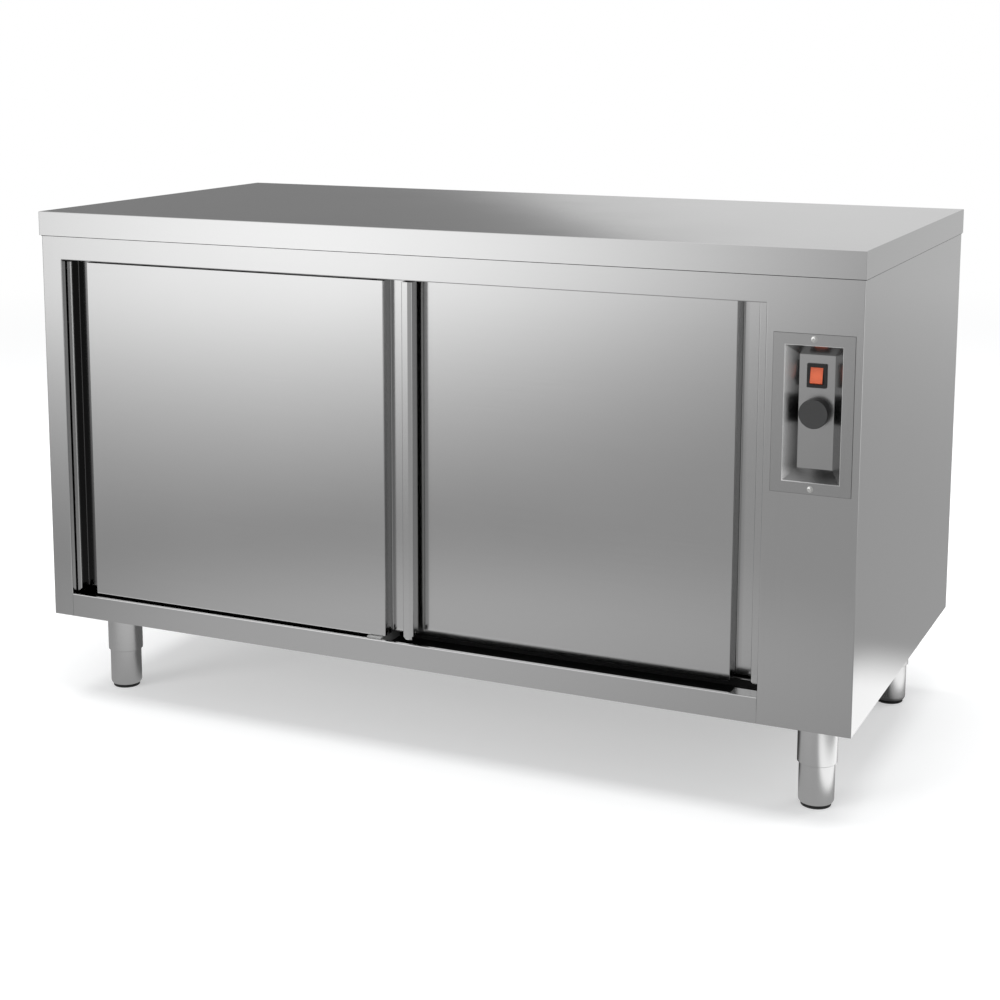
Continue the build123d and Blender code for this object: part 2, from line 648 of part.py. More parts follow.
for name, door_x, door_y, travel in DOORS:
    sill_plane = Plane((door_x, door_y, DOOR_BOTTOM))
    height = DOOR_TOP - DOOR_BOTTOM
    panel_x = (door_x + PANEL_START, door_x + DOOR_WIDTH - PANEL_START)
    groove_y = (
        door_y + (DOOR_THICK - GROOVE_WIDTH) / 2,
        door_y + (DOOR_THICK + GROOVE_WIDTH) / 2,
    )
    split_y = door_y + GRIP_DEPTH
    groove_top = DOOR_BOTTOM + GROOVE_DEPTH
    inner_x = (panel_x[0] + SHEET, panel_x[1] - SHEET)
    ends = ((door_x, panel_x[0]), (panel_x[1], door_x + DOOR_WIDTH))

    with BuildPart() as door_front:
        with BuildSketch(sill_plane):
            folded(panel_outline(), Side.LEFT)
        extrude(amount=height)
        for x_low, x_high in ends:
            block(
                (x_low - SHEET, door_y + SHEET, DOOR_BOTTOM),
                (x_high + SHEET, door_y + DOOR_THICK, DOOR_BOTTOM + END_STEP),
                mode=Mode.SUBTRACT,
            )
            block(
                (x_low - SHEET, groove_y[0], DOOR_BOTTOM),
                (x_high + SHEET, groove_y[1], groove_top),
                mode=Mode.SUBTRACT,
            )
        block((inner_x[0], door_y + SHEET, DOOR_TOP - SHEET), (inner_x[1], split_y, DOOR_TOP))
        block((inner_x[0], door_y + SHEET, DOOR_BOTTOM), (inner_x[1], groove_y[0], DOOR_BOTTOM + SHEET))
        block((inner_x[0], groove_y[0] - SHEET, DOOR_BOTTOM), (inner_x[1], groove_y[0], groove_top))
        with BuildSketch(Plane.XZ.offset(-door_y)):
            for corner_x, run in (
                (door_x, OUTER_CHAMFER),
                (door_x + LIP, -LIP_CHAMFER),
                (door_x + DOOR_WIDTH - LIP, LIP_CHAMFER),
                (door_x + DOOR_WIDTH, -OUTER_CHAMFER),
            ):
                Polygon(
                    (corner_x, DOOR_BOTTOM),
                    (corner_x + run, DOOR_BOTTOM),
                    (corner_x, DOOR_BOTTOM + abs(run)),
                    align=None,
                )
        extrude(amount=-SHEET - BEND, mode=Mode.SUBTRACT)
    save(door_front.part, f"{name}_door_front")

    with BuildPart() as door_back:
        with BuildSketch(sill_plane):
            folded(
                [
                    (SHEET, LIP_RETURN - SKIN_LAP),
                    (SHEET, DOOR_THICK),
                    (DOOR_WIDTH - SHEET, DOOR_THICK),
                    (DOOR_WIDTH - SHEET, LIP_RETURN - SKIN_LAP),
                ],
                Side.RIGHT,
            )
        extrude(amount=height)
        for x_low, x_high in ends:
            block(
                (x_low, door_y, DOOR_BOTTOM),
                (x_high, door_y + DOOR_THICK, DOOR_BOTTOM + END_STEP),
                mode=Mode.SUBTRACT,
            )
            block(
                (x_low, groove_y[0], DOOR_BOTTOM),
                (x_high, groove_y[1], groove_top),
                mode=Mode.SUBTRACT,
            )
        back_y = door_y + DOOR_THICK - SHEET
        block((inner_x[0], split_y, DOOR_TOP - SHEET), (inner_x[1], back_y, DOOR_TOP))
        block((inner_x[0], groove_y[1], DOOR_BOTTOM), (inner_x[1], back_y, DOOR_BOTTOM + SHEET))
        block((inner_x[0], groove_y[1], DOOR_BOTTOM), (inner_x[1], groove_y[1] + SHEET, groove_top))
    save(door_back.part, f"{name}_door_back")

    with BuildPart() as door_core:
        block(
            (inner_x[0] + CLEAR, door_y + SHEET, groove_top + CLEAR),
            (inner_x[1] - CLEAR, back_y, DOOR_TOP - SHEET),
        )
    save(door_core.part, f"{name}_door_core")

    lane = door_y + DOOR_THICK / 2
    hanger_x = [door_x + HANGER_INSET, door_x + DOOR_WIDTH - HANGER_INSET]
    with BuildPart() as door_hangers:
        for x in hanger_x:
            block(
                (x - HANGER_WIDTH / 2, lane - HANGER_FOOT / 2, DOOR_TOP),
                (x + HANGER_WIDTH / 2, lane + HANGER_FOOT / 2, DOOR_TOP + HANGER_PLATE),
            )
            block(
                (x - HANGER_WIDTH / 2, lane - HANGER_PLATE / 2, DOOR_TOP),
                (x + HANGER_WIDTH / 2, lane + HANGER_PLATE / 2, WHEEL_LEVEL + AXLE_RADIUS + HANGER_RIM),
            )
        with BuildSketch(Plane.XZ.offset(-lane)):
            with Locations(*[(x, WHEEL_LEVEL) for x in hanger_x]):
                Circle(AXLE_RADIUS + RUNNING_FIT)
        extrude(amount=HANGER_PLATE, both=True, mode=Mode.SUBTRACT)
    save(door_hangers.part, f"{name}_door_hangers")

    for number, x in enumerate(hanger_x, start=1):
        with BuildPart() as wheel_pair:
            with BuildSketch(Plane.XZ.offset(-lane)):
                with Locations((x, WHEEL_LEVEL)):
                    Circle(AXLE_RADIUS)
            extrude(amount=WHEEL_TREAD + WHEEL_WIDTH / 2, both=True)
            for side in (-1, 1):
                with BuildSketch(Plane.XZ.offset(-lane + side * WHEEL_TREAD)):
                    with Locations((x, WHEEL_LEVEL)):
                        Circle(WHEEL_RADIUS)
                extrude(amount=WHEEL_WIDTH / 2, both=True)
        save(wheel_pair.part, f"{name}_door_wheels_{number}")

# ---- controls ----
with BuildPart() as control_plate:
    with BuildSketch(Plane.XZ.offset(-PLATE_FRONT)):
        with Locations((CONTROL_X, CONTROL_Z)):
            Rectangle(*PLATE_SIZE)
    extrude(amount=-SHEET)
    for outer, mode in ((True, Mode.ADD), (False, Mode.SUBTRACT)):
        for depth in (0, RECESS_DEPTH + outer * SHEET):
            with BuildSketch(Plane.XZ.offset(-PLATE_FRONT - depth)):
                with Locations((CONTROL_X, CONTROL_Z)):
                    Rectangle(*[2 * recess_half(mouth, depth, outer) for mouth in MOUTH_SIZE])
        loft(mode=mode)
    with BuildSketch(Plane.XZ.offset(-RECESS_FLOOR)):
        with Locations((CONTROL_X, SWITCH_Z)):
            Rectangle(*[side + 2 * CLEAR for side in SWITCH_BODY])
        with Locations((CONTROL_X, CONTROL_Z)):
            Circle(BUSH_RADIUS + CLEAR)
    extrude(amount=-SHEET, mode=Mode.SUBTRACT)
    with BuildSketch(Plane.XZ.offset(-PLATE_FRONT)):
        with Locations(*SCREW_PLACES):
            Circle(SCREW_SHANK + BOLT_GAP)
    extrude(amount=-SHEET, mode=Mode.SUBTRACT)
save(control_plate.part, "control_plate")

with BuildPart() as control_screws:
    for x, z in SCREW_PLACES:
        dome = (SCREW_HEAD**2 + SCREW_RISE**2) / (2 * SCREW_RISE)
        with BuildSketch(Plane.YZ.offset(x)):
            with BuildLine():
                tip = Line((PLATE_FRONT - SCREW_RISE, z), (PLATE_FRONT + SCREW_LENGTH, z))
                Polyline(
                    tip @ 1,
                    (PLATE_FRONT + SCREW_LENGTH, z + SCREW_SHANK),
                    (PLATE_FRONT, z + SCREW_SHANK),
                    (PLATE_FRONT, z + SCREW_HEAD),
                )
                RadiusArc((PLATE_FRONT, z + SCREW_HEAD), tip @ 0, dome)
            make_face()
        revolve(axis=Axis((x, 0, z), (0, 1, 0)))
        with BuildSketch(Plane.XZ.offset(-PLATE_FRONT + SCREW_RISE)):
            with Locations((x, z)):
                Rectangle(2 * SCREW_HEAD, SCREW_SLOT, rotation=SCREW_SLOT_ANGLE)
        extrude(amount=-SCREW_RISE / 2, mode=Mode.SUBTRACT)
save(control_screws.part, "control_screws")

PIVOT_Y = BEZEL_FRONT + ROCKER_DEPTH
POCKET = (ROCKER_WIDTH + 2 * ROCKER_GAP, 2 * (ROCKER_SWING + ROCKER_GAP))
with BuildPart() as switch_housing:
    with BuildSketch(Plane.XZ.offset(-BEZEL_FRONT)):
        with Locations((CONTROL_X, SWITCH_Z)):
            RectangleRounded(*BEZEL_SIZE, BEND)
    extrude(amount=-BEZEL_THICK)
    fillet(switch_housing.faces().sort_by(Axis.Y)[0].edges(), SHEET / 2)
    with BuildSketch(Plane.XZ.offset(-RECESS_FLOOR)):
        with Locations((CONTROL_X, SWITCH_Z)):
            Rectangle(*SWITCH_BODY)
    extrude(amount=-SWITCH_BODY_DEPTH)
    with BuildSketch(Plane.XZ.offset(-BEZEL_FRONT)):
        with Locations((CONTROL_X, SWITCH_Z)):
            Rectangle(*POCKET)
    extrude(amount=-ROCKER_DEPTH - ROCKER_SWING - ROCKER_GAP, mode=Mode.SUBTRACT)
    with BuildSketch(Plane.YZ.offset(CONTROL_X)):
        with Locations((PIVOT_Y, SWITCH_Z)):
            Circle(ROCKER_PIN + RUNNING_FIT)
    extrude(amount=ROCKER_WIDTH / 2 + ROCKER_PIN_LENGTH + CLEAR, both=True, mode=Mode.SUBTRACT)
save(switch_housing.part, "switch_housing")

with BuildPart() as rocker:
    with BuildSketch(Plane.YZ.offset(CONTROL_X)):
        with Locations(Location((PIVOT_Y, SWITCH_Z, 0), (0, 0, -ROCKER_TILT))):
            Circle(ROCKER_SWING)
            with Locations(((ROCKER_BACK - ROCKER_FACE) / 2, 0)):
                Rectangle(ROCKER_FACE + ROCKER_BACK, 2 * ROCKER_SWING, mode=Mode.INTERSECT)
    extrude(amount=ROCKER_WIDTH / 2, both=True)
    with BuildSketch(Plane.YZ.offset(CONTROL_X)):
        with Locations((PIVOT_Y, SWITCH_Z)):
            Circle(ROCKER_PIN)
    extrude(amount=ROCKER_WIDTH / 2 + ROCKER_PIN_LENGTH, both=True)
save(rocker.part, "rocker")

SHAFT_END = RECESS_FLOOR + SHEET + KNOB_SHAFT_LENGTH
KNOB_FACE = PLATE_FRONT + KNOB_SETBACK
with BuildPart() as knob:
    with BuildSketch(Plane.XZ.offset(-KNOB_FACE)):
        with Locations((CONTROL_X, CONTROL_Z)):
            Circle(KNOB_RADIUS)
    extrude(amount=KNOB_FACE - RECESS_FLOOR + CLEAR)
    chamfer(knob.faces().sort_by(Axis.Y)[0].edges(), KNOB_CHAMFER)
    with BuildSketch(Plane.XZ.offset(-RECESS_FLOOR + CLEAR)):
        with Locations((CONTROL_X, CONTROL_Z)):
            Circle(KNOB_SHAFT)
    extrude(amount=RECESS_FLOOR - SHAFT_END - CLEAR)
save(knob.part, "knob")

BODY_FACE = RECESS_FLOOR + SHEET
with BuildPart() as thermostat:
    with BuildSketch(Plane.XZ.offset(-BODY_FACE)):
        with Locations((CONTROL_X, CONTROL_Z)):
            Rectangle(THERMOSTAT_SIZE[0], THERMOSTAT_SIZE[2])
    extrude(amount=-THERMOSTAT_SIZE[1])
    with BuildSketch(Plane.XZ.offset(-RECESS_FLOOR)):
        with Locations((CONTROL_X, CONTROL_Z)):
            Circle(BUSH_RADIUS)
    extrude(amount=-SHEET)
    with BuildSketch(Plane.XZ.offset(-RECESS_FLOOR)):
        with Locations((CONTROL_X, CONTROL_Z)):
            Circle(KNOB_SHAFT + RUNNING_FIT)
    extrude(amount=RECESS_FLOOR - SHAFT_END - CLEAR, mode=Mode.SUBTRACT)
save(thermostat.part, "thermostat")

BULB_X = OPEN_RIGHT - 2 * PROBE_BULB
probe_y, probe_z = PROBE_PASS
PROBE_START = (CONTROL_X, BODY_FACE + THERMOSTAT_SIZE[1], CONTROL_Z)
with BuildPart() as thermostat_probe:
    with BuildLine():
        FilletPolyline(
            PROBE_START,
            (CONTROL_X, probe_y, CONTROL_Z),
            (CONTROL_X, probe_y, probe_z),
            (BULB_X, probe_y, probe_z),
            (BULB_X, probe_y + PROBE_BACK, probe_z),
            radius=[PROBE_BEND, PROBE_BEND, PROBE_BULB],
        )
    with BuildSketch(Plane(origin=PROBE_START, z_dir=(0, 1, 0))):
        Circle(PROBE_TUBE)
    sweep()
    with BuildSketch(Plane.XZ.offset(-probe_y - 2 * PROBE_BULB)):
        with Locations((BULB_X, probe_z)):
            Circle(PROBE_BULB)
    extrude(amount=-PROBE_BULB_LENGTH)
    block(
        (BULB_X, probe_y + PROBE_BULB_LENGTH / 2, probe_z - PROBE_BULB / 2),
        (OPEN_RIGHT, probe_y + PROBE_BULB_LENGTH / 2 + PROBE_BULB, probe_z + PROBE_BULB / 2),
    )
save(thermostat_probe.part, "thermostat_probe")

# ---- heater and fan, on the far side of the cavity's right wall ----
DUCT_FACE = OPEN_RIGHT + SHEET
DUCT_Z = (FAN_Z - DUCT_BELOW_FAN, FAN_Z - DUCT_BELOW_FAN + DUCT_SIZE[1])
COIL_X = DUCT_FACE + COIL_STATION
half_width = DUCT_SIZE[0] / 2
with BuildPart() as air_duct:
    block((DUCT_FACE, -half_width, DUCT_Z[0]), (DUCT_BACK, half_width, DUCT_Z[1]))
    block(
        (DUCT_FACE, -half_width - DUCT_FLANGE, DUCT_Z[0] - DUCT_FLANGE),
        (DUCT_FACE + SHEET, half_width + DUCT_FLANGE, DUCT_Z[1] + DUCT_FLANGE),
    )
    block(
        (DUCT_FACE, SHEET - half_width, DUCT_Z[0] + SHEET),
        (DUCT_BACK - SHEET, half_width - SHEET, DUCT_Z[1] - SHEET),
        mode=Mode.SUBTRACT,
    )
    with BuildSketch(Plane.YZ.offset(DUCT_BACK - SHEET)):
        with Locations((0, FAN_Z)):
            Circle(IMPELLER_HUB)
        with Locations(*COIL_ENDS):
            Circle(COIL_TUBE)
    extrude(amount=SHEET, mode=Mode.SUBTRACT)
save(air_duct.part, "air_duct")

with BuildPart() as heating_element:
    coil_plane = Plane.YZ.offset(COIL_X)
    with BuildLine(coil_plane):
        CenterArc((0, FAN_Z), COIL_RADIUS, 90 + COIL_GAP_ANGLE / 2, 360 - COIL_GAP_ANGLE)
    with BuildSketch(Plane(origin=(COIL_X, *COIL_ENDS[0]), z_dir=(0, -cos(COIL_TURN), -sin(COIL_TURN)))):
        Circle(COIL_TUBE)
    sweep()
    with BuildSketch(coil_plane):
        with Locations(*COIL_ENDS):
            Circle(COIL_TUBE)
    extrude(amount=DUCT_BACK + COIL_STATION - COIL_X)
    with Locations(*[(COIL_X, *end) for end in COIL_ENDS]):
        Sphere(COIL_TUBE)
save(heating_element.part, "heating_element")

IMPELLER_BACK = DUCT_BACK - SHEET - IMPELLER_PLATE - IMPELLER_PLATE
with BuildPart() as fan_impeller:
    with BuildSketch(Plane.YZ.offset(IMPELLER_BACK)):
        with Locations((0, FAN_Z)):
            Circle(IMPELLER_RADIUS)
    extrude(amount=-IMPELLER_PLATE)
    with BuildSketch(Plane.YZ.offset(IMPELLER_BACK)):
        with Locations((0, FAN_Z)):
            Circle(IMPELLER_HUB - IMPELLER_PLATE)
            with PolarLocations(IMPELLER_RADIUS, IMPELLER_BLADES):
                Rectangle(IMPELLER_RADIUS / 2, SHEET, align=(Align.MAX, Align.CENTER))
    extrude(amount=-IMPELLER_WIDTH)
    with BuildSketch(Plane.YZ.offset(IMPELLER_BACK)):
        with Locations((0, FAN_Z)):
            Circle(FAN_SHAFT)
    extrude(amount=DUCT_BACK + MOTOR_LENGTH / 2 - IMPELLER_BACK)
save(fan_impeller.part, "fan_impeller")

with BuildPart() as fan_motor:
    with BuildSketch(Plane.YZ.offset(DUCT_BACK)):
        with Locations((0, FAN_Z)):
            RectangleRounded(MOTOR_FLANGE, MOTOR_FLANGE, LEG_PLATE_CORNER)
    extrude(amount=MOTOR_FLANGE_THICK)
    with BuildSketch(Plane.YZ.offset(DUCT_BACK)):
        with Locations((0, FAN_Z)):
            Circle(MOTOR_RADIUS)
    extrude(amount=MOTOR_LENGTH)
    with BuildSketch(Plane.YZ.offset(DUCT_BACK)):
        with Locations((0, FAN_Z)):
            Circle(FAN_SHAFT + RUNNING_FIT)
    extrude(amount=MOTOR_LENGTH / 2 + CLEAR, mode=Mode.SUBTRACT)
save(fan_motor.part, "fan_motor")

# ---- electrics ----
PAN_TOP = BOTTOM + SHEET
gland_x = GLAND_PLACE[0]
with BuildPart() as terminal_block:
    block(
        (gland_x - TERMINAL_SIZE[0] / 2, -TERMINAL_SIZE[1] / 2, PAN_TOP),
        (gland_x + TERMINAL_SIZE[0] / 2, TERMINAL_SIZE[1] / 2, PAN_TOP + TERMINAL_SIZE[2]),
    )
    with BuildSketch(Plane.XY.offset(PAN_TOP + TERMINAL_SIZE[2])):
        with Locations((gland_x, 0)):
            with GridLocations(TERMINAL_SIZE[0] / 2, TERMINAL_SIZE[1] / TERMINAL_WAYS, 2, TERMINAL_WAYS):
                Circle(SCREW_SHANK)
    extrude(amount=-TERMINAL_SIZE[2] / 2, mode=Mode.SUBTRACT)
save(terminal_block.part, "terminal_block")

with BuildPart() as cable_gland:
    with BuildSketch(Plane.XY.offset(BOTTOM - GLAND_DROP)):
        with Locations(GLAND_PLACE):
            RegularPolygon(GLAND_NUT, BOLT_SIDES)
    extrude(amount=GLAND_DROP)
    fillet(cable_gland.faces().sort_by(Axis.Z)[0].edges(), BEND)
    with BuildSketch(Plane.XY.offset(BOTTOM)):
        with Locations(GLAND_PLACE):
            Circle(GLAND_BODY)
    extrude(amount=GLAND_RISE)
    with BuildSketch(Plane.XY.offset(PAN_TOP)):
        with Locations(GLAND_PLACE):
            RegularPolygon(GLAND_NUT, BOLT_SIDES)
    extrude(amount=LEG_PLATE_THICK)
    with BuildSketch(Plane.XY.offset(BOTTOM - GLAND_DROP)):
        with Locations(GLAND_PLACE):
            Circle(GLAND_BORE)
    extrude(amount=GLAND_DROP + GLAND_RISE, mode=Mode.SUBTRACT)
save(cable_gland.part, "cable_gland")

# ---- legs ----
PLATE_UNDER = BOTTOM - LEG_PLATE_THICK
SLEEVE_END = BOTTOM - SLEEVE_LENGTH
FOOT_TOP = SLEEVE_END + FOOT_TRAVEL + FOOT_HOLD
SLEEVE_BORE = SLEEVE_RADIUS - SLEEVE_WALL
for number, place in enumerate(LEG_PLACES, start=1):
    with BuildPart() as leg:
        with BuildSketch(Plane.XY.offset(PLATE_UNDER)):
            with Locations(place):
                RectangleRounded(LEG_PLATE, LEG_PLATE, LEG_PLATE_CORNER)
                with GridLocations(LEG_BOLT_PITCH, LEG_BOLT_PITCH, 2, 2):
                    Circle(BOLT_RADIUS + BOLT_GAP, mode=Mode.SUBTRACT)
        extrude(amount=LEG_PLATE_THICK)
        with BuildSketch(Plane.XY.offset(SLEEVE_END)):
            with Locations(place):
                Circle(SLEEVE_RADIUS)
                Circle(SLEEVE_BORE, mode=Mode.SUBTRACT)
        extrude(amount=PLATE_UNDER - SLEEVE_END)
        chamfer(leg.faces().sort_by(Axis.Z)[0].edges().sort_by(SortBy.LENGTH)[-1], SLEEVE_CHAMFER)
        with BuildSketch(Plane.XY.offset(SLEEVE_END + SLEEVE_WALL)):
            with Locations(place):
                Circle(SPINDLE_RADIUS)
        extrude(amount=PLATE_UNDER - SLEEVE_END - SLEEVE_WALL)
        with BuildSketch(Plane.XY.offset(FOOT_TOP + CLEAR)):
            with Locations(place):
                Circle(2 * SPINDLE_RADIUS)
        extrude(amount=PLATE_UNDER - FOOT_TOP - CLEAR)
    save(leg.part, f"leg_{number}")

    with BuildPart() as foot:
        with BuildSketch(Plane.XY.offset(CAP_THICK)):
            with Locations(place):
                Circle(FOOT_RADIUS)
        extrude(amount=FOOT_TOP - CAP_THICK)
        fillet(foot.faces().sort_by(Axis.Z)[0].edges(), FOOT_ROUND)
        with BuildSketch(Plane.XY.offset(FOOT_TOP - FOOT_GUIDE)):
            with Locations(place):
                Circle(SLEEVE_BORE - RUNNING_FIT)
        extrude(amount=FOOT_GUIDE)
        with BuildSketch(Plane.XY.offset(CAP_THICK + FOOT_ROUND)):
            with Locations(place):
                Circle(FOOT_RADIUS - FOOT_WALL)
        extrude(amount=FOOT_TOP - FOOT_NUT - CAP_THICK - FOOT_ROUND, mode=Mode.SUBTRACT)
        with BuildSketch(Plane.XY.offset(FOOT_TOP)):
            with Locations(place):
                Circle(SPINDLE_RADIUS + RUNNING_FIT)
        extrude(amount=-2 * FOOT_NUT, mode=Mode.SUBTRACT)
    save(foot.part, f"foot_{number}")

    with BuildPart() as foot_cap:
        with BuildSketch(Plane.XY):
            with Locations(place):
                Circle(CAP_RADIUS)
        extrude(amount=CAP_THICK)
        fillet(foot_cap.faces().sort_by(Axis.Z)[0].edges(), SHEET)
    save(foot_cap.part, f"foot_cap_{number}")

with BuildPart() as leg_bolts:
    with BuildSketch(Plane.XY.offset(PLATE_UNDER)):
        with Locations(*LEG_PLACES):
            with GridLocations(LEG_BOLT_PITCH, LEG_BOLT_PITCH, 2, 2):
                RegularPolygon(BOLT_HEAD, BOLT_SIDES)
    extrude(amount=-BOLT_HEAD_HEIGHT)
    with BuildSketch(Plane.XY.offset(PLATE_UNDER)):
        with Locations(*LEG_PLACES):
            with GridLocations(LEG_BOLT_PITCH, LEG_BOLT_PITCH, 2, 2):
                Circle(BOLT_RADIUS)
    extrude(amount=LEG_PLATE_THICK + SHEET + BOLT_STANDING)
save(leg_bolts.part, "leg_bolts")
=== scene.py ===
"""Plate warmer cabinet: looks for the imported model. Metres, +Z up, front faces -Y."""

import math

import bpy
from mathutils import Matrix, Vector


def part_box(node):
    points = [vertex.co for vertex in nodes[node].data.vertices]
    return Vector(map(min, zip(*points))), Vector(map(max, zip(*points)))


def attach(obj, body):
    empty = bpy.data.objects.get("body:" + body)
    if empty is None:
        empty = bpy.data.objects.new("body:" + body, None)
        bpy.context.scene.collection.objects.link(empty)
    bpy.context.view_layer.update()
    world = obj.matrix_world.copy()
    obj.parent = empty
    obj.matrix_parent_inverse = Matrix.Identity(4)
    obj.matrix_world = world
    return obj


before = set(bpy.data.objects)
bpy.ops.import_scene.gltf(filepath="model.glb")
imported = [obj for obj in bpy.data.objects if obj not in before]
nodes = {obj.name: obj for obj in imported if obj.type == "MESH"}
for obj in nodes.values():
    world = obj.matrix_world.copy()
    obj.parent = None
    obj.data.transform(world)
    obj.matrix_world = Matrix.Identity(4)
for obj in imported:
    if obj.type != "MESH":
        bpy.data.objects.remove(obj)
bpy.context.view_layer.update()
scene = bpy.context.scene
scene.view_settings.view_transform = "Standard"


# ---- camera and white studio ----
# A long lens from the front right, a little above the worktop. The floor and the air behind it
# are plain white to the lens, and the floor still takes the cabinet's shadow.
def linear(hex_colour):
    """sRGB hex to the linear colour that a shader socket takes."""
    parts = [int(hex_colour[i : i + 2], 16) / 255 for i in (0, 2, 4)]
    return [p / 12.92 if p <= 0.04045 else ((p + 0.055) / 1.055) ** 2.4 for p in parts] + [1.0]


def add(tree, kind, settings={}, inputs={}):
    """One node with its settings; each input takes a value or another node's output."""
    made = tree.nodes.new(kind)
    for key, value in settings.items():
        setattr(made, key, value)
    for key, value in inputs.items():
        if isinstance(value, bpy.types.NodeSocket):
            tree.links.new(value, made.inputs[key])
        else:
            made.inputs[key].default_value = value
    return made


def blank(name):
    """An empty material to build nodes in, and its tree."""
    made = bpy.data.materials.new(name)
    made.use_nodes = True
    made.node_tree.nodes.clear()
    return made, made.node_tree


CAMERA_PLACE = (1.282, -2.875, 1.136)
CAMERA_DOWN = 9.17
CAMERA_LEFT = 25.08
view = bpy.data.cameras.new("camera")
view.lens = 67.2
view.sensor_width = 36
view.shift_x, view.shift_y = 0.03, -0.16
view.clip_end = 200
camera = bpy.data.objects.new("camera", view)
camera.location = CAMERA_PLACE
camera.rotation_euler = (math.radians(90 - CAMERA_DOWN), 0, math.radians(CAMERA_LEFT))
scene.collection.objects.link(camera)
scene.camera = camera

SEEN = ("Is Camera Ray", "Is Glossy Ray", "Is Transmission Ray")


def seen_plainly(tree):
    """1 on a ray that shows something as it is: straight to the lens, mirrored, or through glass."""
    path = add(tree, "ShaderNodeLightPath")
    first = add(
        tree, "ShaderNodeMath", {"operation": "MAXIMUM"}, {0: path.outputs[SEEN[0]], 1: path.outputs[SEEN[1]]}
    )
    return add(
        tree, "ShaderNodeMath", {"operation": "MAXIMUM"}, {0: first.outputs[0], 1: path.outputs[SEEN[2]]}
    ).outputs[0]


room = bpy.data.worlds.new("room")
room.use_nodes = True
tree = room.node_tree
tree.nodes.clear()
soft = add(tree, "ShaderNodeBackground", {}, {"Color": linear("F4F6F8"), "Strength": 0.55})
white = add(tree, "ShaderNodeBackground", {}, {"Color": linear("FFFFFF"), "Strength": 1.0})
mixed = add(tree, "ShaderNodeMixShader", {}, {0: seen_plainly(tree), 1: soft.outputs[0], 2: white.outputs[0]})
add(tree, "ShaderNodeOutputWorld", {}, {"Surface": mixed.outputs[0]})
scene.world = room

paper, tree = blank("white_paper")
spot = add(tree, "ShaderNodeTexCoord")
apart = add(tree, "ShaderNodeVectorMath", {"operation": "LENGTH"}, {0: spot.outputs["Object"]})
far_off = add(
    tree,
    "ShaderNodeMapRange",
    {"interpolation_type": "SMOOTHSTEP"},
    {0: apart.outputs["Value"], 1: 2.2, 2: 6.0},
)
matt = add(tree, "ShaderNodeBsdfDiffuse", {}, {"Color": linear("DCDCDC")})
lift = add(tree, "ShaderNodeMath", {"operation": "MULTIPLY"}, {0: seen_plainly(tree), 1: 0.4})
glow = add(tree, "ShaderNodeEmission", {}, {"Color": linear("FFFFFF"), "Strength": lift.outputs[0]})
both = add(tree, "ShaderNodeAddShader", {}, {0: matt.outputs[0], 1: glow.outputs[0]})
plain = add(tree, "ShaderNodeEmission", {}, {"Color": linear("FFFFFF"), "Strength": 1.0})
sheet = add(tree, "ShaderNodeMixShader", {}, {0: far_off.outputs[0], 1: both.outputs[0], 2: plain.outputs[0]})
add(tree, "ShaderNodeOutputMaterial", {}, {"Surface": sheet.outputs[0]})
bpy.ops.mesh.primitive_circle_add(vertices=96, radius=40, fill_type="NGON", location=(0, 0, 0))
floor = bpy.context.object
floor.name = "floor"
floor.data.materials.append(paper)


def lamp(name, size, place, aim, watts):
    """A soft box aimed at a point. It lights the object and is kept out of the steel."""
    data = bpy.data.lights.new(name, "AREA")
    data.shape = "RECTANGLE"
    data.size, data.size_y = size
    data.energy = watts
    made = bpy.data.objects.new(name, data)
    made.location = place
    made.rotation_euler = (Vector(place) - Vector(aim)).to_track_quat("Z", "Y").to_euler()
    made.visible_glossy = False
    scene.collection.objects.link(made)


lamp("overhead", (4.0, 3.0), (0.0, -0.4, 4.2), (0, 0, 0.4), 150)
lamp("front_left", (2.4, 2.6), (-3.2, -4.6, 1.5), (-0.2, 0, 0.5), 110)
lamp("back_right", (2.0, 2.4), (3.4, 3.4, 2.2), (0.2, 0, 0.5), 50)


# Grey paper lies and stands round the cabinet for the steel to mirror, out of the lens's sight: a
# plain white room would wash its shape out. Soft boxes brighten it, each by its compass angle (0 in
# front, 90 to the left, -90 to the right), its half width, the distances in metres from the middle
# between which it grows from nothing to full, and the brightness that it adds.
PAPER_GREY = 0.42
PAPER_RADIUS = 6.5
PAPER_HEIGHT = 4.5
SOFT_BOXES = (
    (30, 32, 1.8, 6.0, 1.1),
    (20, 80, 1.6, 1.1, 0.18),
    (-75, 45, 1.6, 4.0, 0.7),
    (170, 60, 1.8, 6.0, 0.3),
)
gradient, tree = blank("gradient_paper")
spot = add(tree, "ShaderNodeTexCoord")
x, y, z = add(tree, "ShaderNodeSeparateXYZ", {}, {0: spot.outputs["Object"]}).outputs
minus = [
    add(tree, "ShaderNodeMath", {"operation": "MULTIPLY"}, {0: axis, 1: -1.0}).outputs[0] for axis in (x, y)
]
turn = add(tree, "ShaderNodeMath", {"operation": "ARCTAN2"}, {0: minus[0], 1: minus[1]})
turn = add(
    tree, "ShaderNodeMath", {"operation": "MULTIPLY_ADD"}, {0: turn.outputs[0], 1: 1 / (2 * math.pi), 2: 0.5}
).outputs[0]
flat = add(tree, "ShaderNodeCombineXYZ", {}, {0: x, 1: y})
apart = add(tree, "ShaderNodeVectorMath", {"operation": "LENGTH"}, {0: flat.outputs[0]}).outputs["Value"]
shade = PAPER_GREY
